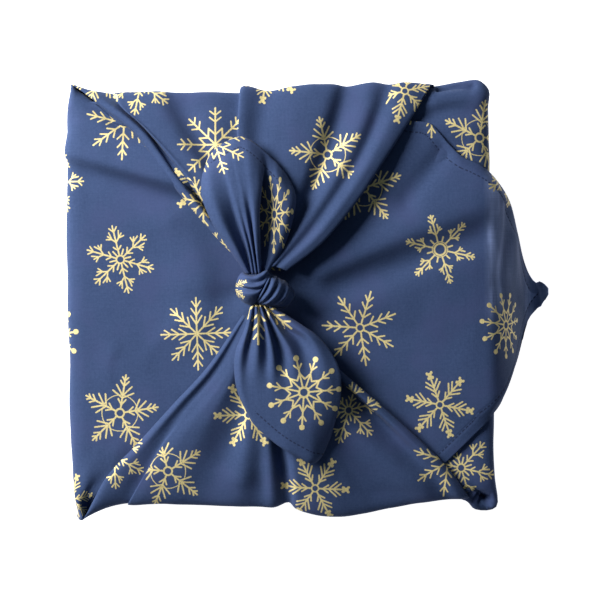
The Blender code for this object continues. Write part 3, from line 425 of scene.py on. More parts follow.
# Printed motifs of each sheet: kind, place in the sheet's flat measure, turn in degrees and radius
Motif = namedtuple("Motif", "kind x y turn size")
MOTIFS = {
    "left": (
        Motif("fern", -96.0, 22.8, -17, 21.0),
        Motif("arrow", -50.6, -22.4, 1, 21.8),
        Motif("wheel", -97.7, -69.3, 8, 23.0),
        Motif("cog", 95.8, 25.8, -14, 21.4),
        Motif("spear", 47.1, -20.5, 21, 22.6),
        Motif("bead", 94.0, -67.2, -12, 23.0),
        Motif("bloom", 138.8, -20.4, 8, 20.0),
        Motif("wheel", 50.8, 63.4, 18, 23.0),
        Motif("spear", -92.8, 104.6, 11, 22.4),
        Motif("bead", -43.8, 66.2, 35, 23.0),
        Motif("fern", -138.4, 70.0, 0, 21.0),
        Motif("bloom", -143.8, -23.0, 8, 22.0),
        Motif("bead", -131.0, -121.0, 10, 18.0),
        Motif("spear", 92.0, 114.0, 12, 21.0),
        Motif("fern", 143.0, 72.0, 30, 21.0),
        Motif("cog", 5.0, 72.0, 12, 22.0),
        Motif("star", 5.0, -72.0, 12, 22.0),
    ),
    "back 0": (
        Motif("bead", -108.0, 132.0, 14, 21.0),
        Motif("spear", -45.0, 55.4, 12, 20.0),
        Motif("fern", -30.0, 29.0, 30, 16.0),
        Motif("wheel", -118.0, 176.0, 30, 22.0),
    ),
    "back 1": (
        Motif("fern", -82.0, 129.0, 20, 21.0),
        Motif("star", -37.6, 90.3, 0, 22.2),
        Motif("arrow", -54.0, 164.0, 10, 22.0),
        Motif("arrow", -46.6, 50.0, 10, 21.0),
    ),
    "back 2": (
        Motif("bead", -6.0, 135.0, 20, 23.0),
        Motif("wheel", 29.2, 83.4, 30, 22.6),
        Motif("cog", 40.0, 160.0, 10, 22.0),
    ),
    "back edge": (
        Motif("bead", 76.0, 120.8, 14, 22.4),
        Motif("fern", 96.0, 162.0, 10, 22.0),
    ),
    "front 0": (
        Motif("fern", -101.0, -95.0, 31, 19.6),
        Motif("spear", -110.0, -164.0, 10, 22.0),
    ),
    "front edge": (
        Motif("wheel", -69.0, -104.0, 31, 22.4),
        Motif("bead", -20.4, -71.2, 0, 23.0),
        Motif("bead", 18.6, -115.6, -4, 23.0),
        Motif("fern", 39.2, -69.4, 12, 20.4),
        Motif("spear", 98.0, -101.0, 6, 21.0),
        Motif("star", -36.0, -158.0, 10, 22.0),
        Motif("cog", 64.0, -160.0, 10, 22.0),
    ),
    "right": (
        Motif("wheel", 120.6, 92.4, 8, 22.8),
        Motif("fern", 106.4, -105.4, -14, 20.8),
        Motif("star", 148.0, 44.0, 10, 22.0),
        Motif("bead", 146.0, -56.0, 10, 22.0),
        Motif("arrow", 152.0, -6.0, 10, 22.0),
    ),
    "upper ear": (
        Motif("star", -37.4, 90.0, 17, 19.0),
    ),
    "upper ear edge": (
        Motif("bloom", -2.9, 47.6, 4, 23.0),
    ),
    "lower ear": (
        Motif("bloom", 12.8, -57.6, 4, 22.0),
        Motif("spear", -13.2, -4.0, 12, 25.0),
    ),
    "knot 1": (
        Motif("bead", -29.0, 5.0, 20, 11.0),
    ),
    "floor": (
        Motif("wheel", 0.0, 0.0, 20, 23.0),
        Motif("star", 64.0, 50.0, 20, 22.0),
        Motif("cog", -64.0, 50.0, 20, 22.0),
        Motif("fern", 64.0, -50.0, 20, 22.0),
        Motif("bead", -64.0, -50.0, 20, 22.0),
        Motif("spear", 0.0, 90.0, 20, 22.0),
        Motif("arrow", 0.0, -90.0, 20, 22.0),
    ),
}
MOTIF_REACH = 1.2
# The print measure of plain cloth, and the hem measure of cloth that has no free edge
OFF_PRINT = (9.0, 0.0)
OFF_HEM = (90.0, 0.0)
# Sideways squeeze of the print where the cloth stands on edge, so that it keeps its true size
PRINT_SQUEEZE = {"upper ear edge": (-2.9, 2.1)}

# The strokes of each kind of motif, in the wedge beside one arm and in parts of its size.  The arm runs from
# the first to the second number; a twig runs from along, across to along, across; a gap stroke lies half way
# to the next arm; a bead has a place and a half width; a petal joins a place on the arm to one on the gap.
HALF_STROKE = 0.021
Kind = namedtuple("Kind", "name arms ring ring_wide hoop hoop_wide arm twigs gap beads petal")
KINDS = (
    Kind("fern", 6, 0.11, 0.02, 0, 0, (0.11, 0.98),
         ((0.26, 0.0, 0.38, 0.11), (0.5, 0.0, 0.72, 0.2), (0.61, 0.1, 0.64, 0.25), (0.61, 0.1, 0.81, 0.14),
          (0.8, 0.0, 0.93, 0.11)), (0.12, 0.3), (), None),
    Kind("arrow", 8, 0, 0, 0, 0, (0.0, 0.99),
         ((0.26, 0.0, 0.49, 0.15), (0.49, 0.0, 0.69, 0.135), (0.72, 0.0, 0.89, 0.115)), None, (), None),
    Kind("wheel", 5, 0.11, 0.022, 0.47, 0.009, (0.11, 1.0),
         ((0.22, 0.0, 0.36, 0.1), (0.4, 0.0, 0.56, 0.27), (0.46, 0.0, 0.72, 0.2), (0.71, 0.0, 0.84, 0.11),
          (0.85, 0.0, 0.94, 0.075)), None, (), None),
    Kind("cog", 6, 0.16, 0.024, 0.215, 0.01, (0.215, 0.98),
         ((0.42, 0.0, 0.6, 0.16), (0.52, 0.09, 0.54, 0.19), (0.53, 0.1, 0.69, 0.1), (0.73, 0.0, 0.85, 0.1),
          (0.87, 0.0, 0.95, 0.07)), (0.22, 0.36), (), None),
    Kind("spear", 7, 0.1, 0.02, 0, 0, (0.1, 1.0),
         ((0.28, 0.0, 0.44, 0.15), (0.5, 0.0, 0.67, 0.135), (0.72, 0.0, 0.87, 0.105)), None, (), None),
    Kind("bead", 6, 0.09, 0.018, 0, 0, (0.09, 0.74),
         ((0.2, 0.0, 0.34, 0.1), (0.35, 0.0, 0.56, 0.19), (0.47, 0.0, 0.66, 0.15)), None,
         ((0.73, 0.05, 0.036), (0.81, 0.0, 0.052), (0.86, 0.06, 0.03)), None),
    Kind("bloom", 11, 0.13, 0.028, 0, 0, (0.13, 0.9), ((0.62, 0.0, 0.76, 0.1),), None,
         ((0.93, 0.0, 0.07),), (0.52, 0.36)),
    Kind("star", 8, 0, 0, 0, 0, (0.0, 1.0), ((0.62, 0.0, 0.74, 0.15), (0.8, 0.0, 0.91, 0.14)), None, (),
         (0.27, 0.47)),
)
STROKES = 8
MOST_ARMS = 16
# Width of the print's soft edge, in parts of a motif's size, and the grain at which it keeps its drawn width
EDGE_BLUR = 0.012
INK_SPREAD = 0.42

# Finishes
NAVY = (0.046, 0.077, 0.174)
NAVY_DEEP = (0.023, 0.044, 0.112)
NAVY_PLUM = (0.046, 0.062, 0.158)
# A lighter navy painted where light comes through the hanging corner and onto its tip in the box's shadow
NAVY_PAINTED_LIGHT = (0.270, 0.350, 0.620)
GOLD = (0.86, 0.73, 0.34)
GOLD_DULL = (0.70, 0.56, 0.24)
# Stitch thread, painted much darker than the cloth as painted shade where the stitches sink in
THREAD_IN_PAINTED_SHADE = (0.012, 0.020, 0.055)
BOARD = (0.62, 0.56, 0.45)
THREAD_PITCH = 0.62
COTTON_ROUGH = 0.86
FOIL_SMOOTH = 0.32
FOIL_METAL = 0.16
HEM_WIDE = 6.6
HEM_RUN_ON = 12.0
STITCH = 2.9


def clamp(value, low=0.0, high=1.0):
    return min(high, max(low, value))


def mix(a, b, share):
    return a + (b - a) * share


def smooth(value):
    value = clamp(value)
    return value * value * (3 - 2 * value)


def bend(points, steps):
    """Points of the smooth curve through the given points, with steps[i] steps from point i to the next."""
    points = [Vector(point) for point in points]
    points = [2 * points[0] - points[1]] + points + [2 * points[-1] - points[-2]]
    made = [points[1].copy()]
    for index, count in enumerate(steps):
        p = points[index:index + 4]
        t = [0.0]
        for a, b in zip(p, p[1:]):
            t.append(t[-1] + max(1e-4, (b - a).length ** 0.5))
        for step in range(1, count + 1):
            x = mix(t[1], t[2], step / count)
            a = [(p[j] * (t[j + 1] - x) + p[j + 1] * (x - t[j])) / (t[j + 1] - t[j]) for j in range(3)]
            b = [(a[j] * (t[j + 2] - x) + a[j + 1] * (x - t[j])) / (t[j + 2] - t[j]) for j in range(2)]
            made.append((b[0] * (t[2] - x) + b[1] * (x - t[1])) / (t[2] - t[1]))
    return made


def loft(lines, along, across):
    """A net of points: every line is bent through its own points, then every row is bent across them."""
    runs = [bend(line, along) for line in lines]
    return [bend(row, across) for row in zip(*runs)]


def fold_line(fold):
    """Points along a fold, which passes through its three given points."""
    points = []
    for step in range(FOLD_STEPS + 1):
        t = step / FOLD_STEPS
        weights = (2 * t * t - 3 * t + 1, 4 * t - 4 * t * t, 2 * t * t - t)
        points.append((sum(w * x for w, x in zip(weights, (fold.x0, fold.x1, fold.x2))),
                       sum(w * y for w, y in zip(weights, (fold.y0, fold.y1, fold.y2)))))
    return points


FOLD_LINES = {sheet: [(fold, fold_line(fold)) for fold in folds] for sheet, folds in FOLDS.items()}


def nearest(line, x, y):
    """How far x, y lies from a run of points, on which side, and how far along the run."""
    near = (1e9, 1, 0.0)
    for index, ((ax, ay), (bx, by)) in enumerate(zip(line, line[1:])):
        dx, dy = bx - ax, by - ay
        along = clamp(((x - ax) * dx + (y - ay) * dy) / max(1e-9, dx * dx + dy * dy))
        away = math.hypot(x - ax - dx * along, y - ay - dy * along)
        if away < near[0]:
            across = (dy * (x - ax) - dx * (y - ay)) / max(1e-9, math.hypot(dx, dy) * away)
            near = (away, clamp(across, -1.0, 1.0), index + along)
    return near


def lift(sheet, x, y):
    """How much the folds of a sheet raise it at x, y."""
    total = 0.0
    for fold, line in FOLD_LINES[sheet]:
        away, side, place = nearest(line, x, y)
        share = place / FOLD_STEPS
        wide = mix(fold.wide0, fold.wide1, share) * (1 + fold.lean * side)
        total += mix(fold.high0, fold.high1, share) * math.exp(-(away / wide) ** 2)
    return total


def wrinkle(x, y, fine, seed):
    """Uneven cloth, -1 to 1, with creases of about the size fine."""
    return noise.noise(Vector((x / fine, y / fine, seed)))


def rest_on_box(point, gap):
    """Keeps a point of the cloth above the box and the floor."""
    if abs(point.x) < BOX_HALF_X and abs(point.y - CENTRE_Y) < BOX_HALF_Y and point.z > BOX_TOP / 2:
        point.z = max(point.z, BOX_TOP + gap)
    point.z = max(point.z, FLOOR_Z)


def net_normals(net):
    """The way out of the cloth at every point of a net."""
    rows, columns = len(net), len(net[0])
    normals = []
    for r in range(rows):
        line = []
        for c in range(columns):
            along = net[min(r + 1, rows - 1)][c] - net[max(r - 1, 0)][c]
            across = net[r][min(c + 1, columns - 1)] - net[r][max(c - 1, 0)]
            line.append(across.cross(along).normalized())
        normals.append(line)
    return normals


def raise_net(net, amount):
    """Moves every point of a net along its normal by amount(row, column, point)."""
    normals = net_normals(net)
    sample = normals[len(net) * 2 // 3][len(net[0]) // 2]
    sign = 1 if sample.z > 0 else -1
    for r, row in enumerate(net):
        for c, point in enumerate(row):
            net[r][c] = point + normals[r][c] * sign * amount(r, c, point)


# What a point of the cloth carries: its flat measure, its place along the hem, its print and its column
Place = namedtuple("Place", "x y hem part column")


class Sheets:
    """The cloth as one mesh, with a print measure, a hem measure and the kind of the nearest motif."""

    def __init__(self):
        self.bm = bmesh.new()
        self.print_uv = self.bm.loops.layers.uv.new("print")
        self.weave_uv = self.bm.loops.layers.uv.new("weave")
        self.hem_uv = self.bm.loops.layers.uv.new("hem")
        self.kind = self.bm.faces.layers.float.new("kind")
        # How much painted light each point's colour gets: light through the hanging corner, and light on its
        # shaded tip
        self.sheer = self.bm.verts.layers.float.new("sheer")

    def add(self, name, net, flat, hem=(), sheer=None, parts=()):
        """A grid moved onto a net.  flat(row, column, point) is the place in the sheet's own flat measure.

        parts names the print of the columns up to each given one, where the cloth is pleated.
        """
        rows, columns = len(net) - 1, len(net[0]) - 1
        made = bmesh.ops.create_grid(self.bm, x_segments=columns, y_segments=rows, size=1.0)["verts"]
        places = {}
        for v in made:
            c = round((v.co.x + 1) / 2 * columns)
            r = round((v.co.y + 1) / 2 * rows)
            v.co = net[r][c]
            x, y = flat(r, c, net[r][c])
            part = next((part for last, part in parts if c <= last), name)
            places[v] = Place(x, y, self.hem_place(hem, x, y), part, c)
            if sheer is not None:
                v[self.sheer] = sheer(r, c, net[r][c])
        self.finish(made, places)

    def finish(self, made, places):
        """Turns the new faces outwards and gives each one its measures and its nearest motif."""
        faces = {face for v in made for face in v.link_faces}
        for face in faces:
            face.normal_update()
        middle = Vector((0.0, CENTRE_Y, BOX_TOP / 2))
        if sum(face.normal.dot(face.calc_center_median() - middle) * face.calc_area() for face in faces) < 0:
            bmesh.ops.reverse_faces(self.bm, faces=list(faces))
        for face in faces:
            _, name = min((places[v].column, places[v].part) for v in face.verts)
            x = sum(places[v].x for v in face.verts) / len(face.verts)
            y = sum(places[v].y for v in face.verts) / len(face.verts)
            near = [motif for motif in MOTIFS.get(name, ())
                    if self.motif_distance(name, motif, x, y) < motif.size * MOTIF_REACH]
            near = min(near, key=lambda motif: self.motif_distance(name, motif, x, y), default=None)
            face[self.kind] = 0 if near is None else [kind.name for kind in KINDS].index(near.kind)
            for loop in face.loops:
                place = places[loop.vert]
                loop[self.weave_uv].uv = (place.x, place.y)
                loop[self.hem_uv].uv = place.hem
                loop[self.print_uv].uv = OFF_PRINT
                if near is not None:
                    loop[self.print_uv].uv = self.print_place(name, near, place.x, place.y)

    @staticmethod
    def hem_place(hem, x, y):
        """Distance from the free edge and the way along it."""
        if not hem:
            return OFF_HEM
        away, _, place = nearest(hem, x, y)
        if place in (0.0, len(hem) - 1.0):
            return OFF_HEM
        index = min(int(place), len(hem) - 2)
        run = sum(math.dist(a, b) for a, b in zip(hem[:index], hem[1:index + 1]))
        return away, run + (place - index) * math.dist(hem[index], hem[index + 1])

    @staticmethod
    def print_offset(name, motif, x, y):
        """How far x, y lies from the middle of a motif, with any squeeze of its sheet."""
        about, squeeze = PRINT_SQUEEZE.get(name, (0.0, 1.0))
        return (x - about) * squeeze - (motif.x - about) * squeeze, y - motif.y

    def motif_distance(self, name, motif, x, y):
        return math.hypot(*self.print_offset(name, motif, x, y))

    def print_place(self, name, motif, x, y):
        """The same, turned with the motif and in parts of its size."""
        dx, dy = self.print_offset(name, motif, x, y)
        c, s = math.cos(math.radians(motif.turn)), math.sin(math.radians(motif.turn))
        return (dx * c + dy * s) / motif.size, (dy * c - dx * s) / motif.size


def column_of(across, index):
    """The column of a net that runs along the given line, past those of the edge that is turned under."""
    return sum(across[:len(TUCK_STEPS) + index])


def wall_points(edge, side, share):
    """The points of a band's line below its edge, from the floor up the side of the box."""
    x, y, _ = edge
    foot_x = mix(-HALF_X + 1.0, HALF_X - 1.5, share)
    out = side * y - HALF_Y - side * CENTRE_Y

    def place(climb, reach, z):
        return mix(foot_x, x, climb), side * (HALF_Y + reach) + CENTRE_Y, z

    return [place(0.0, -0.5, 0.4),
            place(0.0, min(3.4, out * 0.4), 1.3),
            place(0.05, mix(out, 6.6, 0.75), 5.6),
            place(0.48, mix(out, 7.3, 0.5), 24.0),
            place(0.9, out - 0.8, 41.0)]


def band(sheets, name, lines, side):
    """A side of the box and the band it becomes, with both edges turned under."""
    first, last = lines[0].edge[0], lines[-1].edge[0]
    runs = []
    for line in lines:
        share = (line.edge[0] - first) / (last - first)
        runs.append(wall_points(line.edge, side, share) + list(line[1:]))
    left = [row.back if side > 0 else row.front for row in LEFT_ROWS[:EDGE_ROWS + 1]]
    runs[0] = left + list(lines[0][2:])
    runs = [tucked(runs[0], runs[1], share) for share in (0.0, TUCK_MIDDLE)] + runs
    runs += [tucked(runs[-1], runs[-2], share) for share in (TUCK_MIDDLE, 0.0)]
    gaps = [math.dist(a.edge, b.edge) for a, b in zip(lines, lines[1:])]
    across = TUCK_STEPS + [max(LEAST_FACES, round(gap / BAND_FACE)) for gap in gaps] + TUCK_STEPS
    net = loft(runs, WALL_STEPS + BAND_STEPS, across)
    wall = sum(WALL_STEPS)
    columns = len(net[0]) - 1

    def ruffle(r, c, point):
        """Fine gathers along the pull, and small creases, that fade at the foot and at the knot."""
        fan = noise.noise(Vector((c / columns * 26.0, r * 0.035, 3.1 + side)))
        fine = wrinkle(point.x, point.y, 9.0, side * 4.0)
        return (0.34 * fan + 0.13 * fine) * smooth((r - 1) / wall) * (1 - smooth((r - len(net) + 16) / 14))

    raise_net(net, ruffle)
    brow = wall + BAND_STEPS[0] + BAND_STEPS[1]
    cuts = [column_of(across, index) for index, line in enumerate(lines) if line.name in PRINT_BREAKS]
    parts = [(cut, "%s %d" % (name, index)) for index, cut in enumerate(cuts)] + [(columns, name + " edge")]

    def flat(r, c, point):
        return point.x, unrolled(net, r, c, brow).y if r < brow else point.y

    sheets.add(name, net, flat, parts=parts)


def unrolled(net, r, c, base):
    """The place that a point of a side would have if the side were folded out level at row base."""
    length = sum((net[i + 1][c] - net[i][c]).length for i in range(r, base))
    start = net[base][c]
    way = (net[base - 2][c] - start).xy.normalized()
    return Vector((start.x + way.x * length, start.y + way.y * length))


def inward_of(a, b):
    """The level way from a to b, of length 1, or 0 where b is straight above a."""
    inward = Vector((b.x - a.x, b.y - a.y, 0.0))
    return inward.normalized() if inward.length > 0 else inward


def tucked(edge, inner, share):
    """The line that an edge turns under to: level with the sheet below, and back inside."""
    made = []
    for index, (a, b) in enumerate(zip(edge, inner)):
        a, b = Vector(a), Vector(b)
        inward = inward_of(a, b)
        on_top = smooth((index - 4) / 2)
        reach = BAND_TUCK * on_top * (1 - share * 1.1)
        reach = min(reach, 0.8 * (b - a).length + 2.0)
        drop = BAND_DROP * on_top
        low = max(a.z - drop, min(a.z, PANEL_Z + 1.2))
        sink = Vector((0.0, 0.0, mix(low, a.z, share) - a.z))
        made.append(a + inward * (reach - share * 1.2 * on_top) + sink)
    return made


def left_sheet(sheets):
    """Left side, the panel over the top, and the corner that hangs past the right edge."""
    lines = []
    for share in LEFT_SHARES:
        line = []
        for row in LEFT_ROWS:
            front, back = Vector(row.front), Vector(row.back)
            y = mix(front.y, back.y, share)
            end = front if share < 0.5 else back
            slit = share > 0.5 and row.x < SLIT_X and row.z > PANEL_Z - 1.0
            hold = 1 - smooth(min(share, 1 - share) / (SLIT_HOLD if slit else CORNER_HOLD))
            bow = WALL_BOW * (2 * share - 1) ** 2 if row.x < BOX_LEFT else 0.0
            line.append((mix(row.x + bow, end.x, hold), y, mix(row.z, end.z, hold)))
        lines.append(line)
    net = loft(lines, [row.steps for row in LEFT_ROWS[:-1]], LEFT_STEPS)
    widths = [[0.0] for _ in net[0]]
    for low, high in zip(net, net[1:]):
        for column, (a, b) in enumerate(zip(low, high)):
            widths[column].append(widths[column][-1] + math.hypot(b.x - a.x, b.z - a.z))
    level_row, corner_row, hang_row = (sum(row.steps for row in LEFT_ROWS[:count])
                                       for count in (EDGE_ROWS, CORNER_ROWS, HANG_ROWS))
    level_row += BEND_STEPS
    columns = len(net[0]) - 1

    def flat(r, c, point):
        """Level cloth is its own measure, and the two ends that hang are measured down their middle."""
        middle = widths[columns // 2]
        if r <= level_row:
            return net[level_row][columns // 2].x + middle[r] - middle[level_row], point.y
        if r >= hang_row:
            return FLAT_EDGE + middle[r] - middle[hang_row], point.y
        return point.x, point.y

    def ruffle(r, c, point):
        """The folds, soft unevenness all over, and slow waves down the side."""
        inside = min(c, columns - c) / CALM_COLUMNS
        on_top = smooth((point.z - 46) / 3)
        rise = lift("left", point.x, point.y) * (on_top if point.x < 0 else 1.0) * smooth(inside)
        broad = 0.5 * wrinkle(point.x, point.y, 46.0, 7.7)
        fine = 0.12 * wrinkle(point.x * 0.8, point.y, 11.0, 2.2)
        waves = 0.8 * wrinkle(point.y, point.z * 0.4, 34.0, 1.3) * (1 - on_top) * smooth((point.z - 3) / 14)
        return rise + (broad + fine) * smooth(inside + 0.3) * smooth(r / 6) + waves * smooth(inside)

    raise_net(net, ruffle)
    for row in net:
        for point in row:
            rest_on_box(point, PANEL_GAP)
    front = [flat(r, 0, net[r][0]) for r in range(corner_row, len(net), 2)]
    back = [flat(r, columns, net[r][columns]) for r in range(corner_row, len(net), 2)]

    def sheer(r, c, point):
        """How much painted light the hanging corner's colour gets: light through the cloth beside and beyond
        the box, and light on its tip in the box's shadow.
        """
        past_print = smooth((point.x - PAINTED_LIGHT_TO) / 4)
        beside_box = smooth((point.x - PAINTED_LIGHT_FROM) / 3) * (1 - past_print) * smooth((point.y + 26) / 24)
        beyond = PAINTED_LIGHT_BEYOND * past_print * smooth((point.y + 6) / 20)
        return max(beside_box, beyond, PAINTED_LIGHT_TIP * smooth((point.x - TIP_FROM) / 6))

    sheets.add("left", net, flat, hem=front + back[::-1], sheer=sheer)


def right_sheet(sheets):
    """Right side, its turned corners, and what of it lies on top under the left panel."""
    lines = []
    for column in RIGHT_COLUMNS:
        line = []
        for out, z in RIGHT_PROFILE:
            high = smooth(z / 44) * column.pull
            reach = out + high
            line.append((column.x + column.out_x * reach, column.y + column.out_y * reach + CENTRE_Y, z))
        for ring in RIGHT_RINGS:
            x_in = column.x - ring * (column.x / HALF_X if abs(column.out_y) > 0.5 else 1.0)
            y_in = column.y * (1 - ring / HALF_Y)
            stay = 1 - smooth(ring / 10)
            z = mix(RIGHT_Z, UNDER_Z, smooth((ring - 20) / 20))
            x_in += column.out_x * column.pull * stay
            y_in += column.out_y * column.pull * stay
            line.append((x_in, y_in + CENTRE_Y, z))
        lines.append(line)
    across = [column.steps for column in RIGHT_COLUMNS[:-1]]
    net = loft(lines, RIGHT_STEPS, across)
    over = sum(RIGHT_STEPS[:len(RIGHT_PROFILE) - 1])
    flat_row = over + RIGHT_STEPS[len(RIGHT_PROFILE) - 1]

    def ruffle(r, c, point):
        """The folds on top, slow waves down the side, and small creases."""
        on_top = smooth((r - over + 2) / 3)
        rise = lift("right", point.x, point.y) * on_top
        waves = 1.2 * wrinkle(point.y + point.x, point.z * 0.4, 30.0, 5.3) * (1 - on_top)
        waves *= smooth((point.z - 3) / 14)
        return rise + waves + 0.14 * wrinkle(point.x, point.y, 10.0, 9.2) * smooth(r / 5)

    raise_net(net, ruffle)

    def flat(r, c, point):
        return unrolled(net, r, c, flat_row) if r < flat_row else (point.x, point.y)

    for row in net:
        for point in row:
            rest_on_box(point, RIGHT_GAP)
    sheets.add("right", net, flat)


def floor_sheet(sheets):
    """The cloth under the box."""
    front, back = CENTRE_Y - HALF_Y + 0.5, CENTRE_Y + HALF_Y - 0.5
    lines = [[(x, front, FLOOR_Z), (x, back, FLOOR_Z)] for x in (-HALF_X + 2, HALF_X - 1)]
    sheets.add("floor", loft(lines, (12,), (12,)), same_place)


def buried_sheet(sheets):
    """What lies between the box and the panel: the corner from the right, turned back at the left edge."""
    lines = [[(row.x, CENTRE_Y + row.half * share, row.z) for row in BURIED_ROWS]
             for share in (-1.0, -0.4, 0.4, 1.0)]
    net = loft(lines, [row.steps for row in BURIED_ROWS[:-1]], (6, 8, 6))
    sheets.add("floor", net, same_place)


def same_place(r, c, point):
    """The flat measure of a sheet that lies level."""
    return point.x, point.y


def lining(sheets, lines, side):
    """The doubled cloth inside a side of the box and under its band, which narrows to the knot."""
    # The left end's x and height, the right end's, and how far out they lie
    rows = [((-112.0, 0.9), (112.0, 0.9), 92.0), ((-117.0, 1.0), (118.0, 1.0), 118.0),
            ((-118.0, 24.0), (118.5, 24.0), 119.2), ((-118.4, 44.0), (118.4, 44.0), 119.2),
            ((-118.0, 47.6), (118.0, 47.6), 118.8), ((-117.0, 48.3), (lines[-1].edge[0] - 6.0, 48.35), 114.6)]
    runs = [[], [], []]
    for left, right, out in rows:
        y = side * out + CENTRE_Y
        for run, share in zip(runs, (0.0, 0.5, 1.0)):
            run.append((mix(left[0], right[0], share), y, mix(left[1], right[1], share)))
    for station in range(2, len(lines[0])):
        least = LINING_Z if station == 2 else PANEL_Z + FABRIC
        low = max(least, min(line[station][2] for line in lines) - 1.0)
        left, right = Vector(lines[0][station]), Vector(lines[-1][station])
        for run, share in zip(runs, (0.1, 0.5, 0.9)):
            point = left.lerp(right, share)
            run.append((point.x, point.y, low))
    if side > 0:
        # The slit beside the back band must not show this cloth
        runs[0][len(rows)] = BEHIND_SLIT
    sheets.add("floor", loft(runs, LINING_STEPS, (10, 10)), same_place)


def ear_lining(sheets, lines):
    """The under side of an ear."""
    runs = [[], [], []]
    for station in range(1, len(lines[0])):
        low = min(line[station][2] for line in lines) - EAR_THICK
        left, right = Vector(lines[0][station]), Vector(lines[-1][station])
        middle = Vector(lines[len(lines) // 2][station])
        across = (left.lerp(right, 0.1), left.lerp(right, 0.5).lerp(middle, 0.85), left.lerp(right, 0.9))
        for run, point in zip(runs, across):
            run.append((point.x, point.y, low))
    sheets.add("floor", loft(runs, EAR_LINING_STEPS, (6, 6)), same_place)


def ear(sheets, name, lines, hem_from, hem_to):
    """A free end of the cloth, gathered at the knot and hemmed at its tip from one line to another."""
    runs = [list(line[1:]) for line in lines]

    def under(edge, inner, share):
        """The line that a side of the ear turns under to, which fades out towards the tip."""
        made = []
        for index, (a, b) in enumerate(zip(edge, inner)):
            a, b = Vector(a), Vector(b)
            inward = inward_of(a, b)
            keep = smooth((5 - index) / 1.6)
            sink = Vector((0, 0, -EAR_DROP * keep * (1 - 0.6 * share)))
            made.append(a + inward * EAR_TUCK * keep * (1 - share) * mix(0.4, 1.0, keep)
                        + sink - inward * 0.3 * share)
        return made

    runs = [under(runs[0], runs[1], share) for share in (0.0, EAR_TUCK_MIDDLE)] + runs
    runs += [under(runs[-1], runs[-2], share) for share in (EAR_TUCK_MIDDLE, 0.0)]
    gaps = [max(math.dist(a[3], b[3]), math.dist(a[4], b[4])) for a, b in zip(runs[2:], runs[3:-2])]
    across = TUCK_STEPS + [max(LEAST_FACES, round(gap / EAR_FACE)) for gap in gaps] + TUCK_STEPS
    net = loft(runs, EAR_STEPS, across)
    rows = len(net) - 1

    def ruffle(r, c, point):
        """Fine gathers that fade towards the tip, and soft unevenness that grows towards it."""
        fan = noise.noise(Vector((c * 0.36, r * 0.05, 11.0 if name == "upper ear" else 15.0)))
        soft = wrinkle(point.x, point.y, 14.0, 21.0)
        return 0.3 * fan * (1 - smooth((r - rows + 20) / 22)) + 0.35 * soft * smooth(r / rows * 1.6)

    raise_net(net, ruffle)
    first, last = column_of(across, hem_from), column_of(across, hem_to)
    hem = [(point.x, point.y) for point in net[-1][first:last + 1:2]]
    hem = [longer(hem[1], hem[0])] + hem + [longer(hem[-2], hem[-1])]
    names = [line.name for line in lines]
    parts = ()
    if "overhang" in names:
        parts = ((column_of(across, names.index("overhang")), name), (len(net[0]) - 1, name + " edge"))
    sheets.add(name, net, same_place, hem=hem, parts=parts)


def longer(a, b):
    """A point past b on the way from a."""
    run = math.dist(a, b)
    return b[0] + (b[0] - a[0]) * HEM_RUN_ON / run, b[1] + (b[1] - a[1]) * HEM_RUN_ON / run


def knot_turn(sheets, name, lines):
    """A turn of the knot, gathered in pleats along its lines."""
    net = loft(lines, [KNOT_ALONG] * (len(lines[0]) - 1), [KNOT_ACROSS] * (len(lines) - 1))
    columns = len(net[0]) - 1

    def ruffle(r, c, point):
        """Fine creases along the pleats."""
        creases = 0.3 * noise.noise(Vector((c * 0.31, r * 0.03, 2.0)))
        return (creases + 0.16 * wrinkle(point.x, point.y, 4.0, 8.0)) * smooth(min(c, columns - c) / 5)

    raise_net(net, ruffle)
    sheets.add(name, net, same_place)


class Value:
    """A number that a material works out, so that its maths reads as Python."""

    def __init__(self, tree, socket):
        self.tree = tree
        self.socket = socket

    def math(self, operation, *others, clamped=False):
        return self.tree.node("ShaderNodeMath", [self, *others], operation=operation, use_clamp=clamped)

    def __add__(self, other):
        return self.math("ADD", other)

    __radd__ = __add__

    def __mul__(self, other):
        return self.math("MULTIPLY", other)

    __rmul__ = __mul__

    def __sub__(self, other):
        return self.math("SUBTRACT", other)

    def __rsub__(self, other):
        return (self * -1) + other

    def __truediv__(self, other):
        return self.math("DIVIDE", other)

    def __abs__(self):
        return self.math("ABSOLUTE")

    def floor(self):
        return self.math("FLOOR")

    def sine(self):
        return self.math("SINE")

    def cosine(self):
        return self.math("COSINE")

    def clamped(self):
        return self.math("ADD", 0.0, clamped=True)

    def larger(self, other):
        return self.math("MAXIMUM", other)

    def step(self, low, high):
        """0 below low, 1 above high, smooth between."""
        share = ((self - low) / (high - low)).clamped()
        return share * share * (3 - 2 * share)


# The sockets of a Mix node that blends colours: its factor, its two colours, and what comes out
COLOUR_MIX_INPUTS = (0, 6, 7)
COLOUR_MIX_OUTPUT = 2


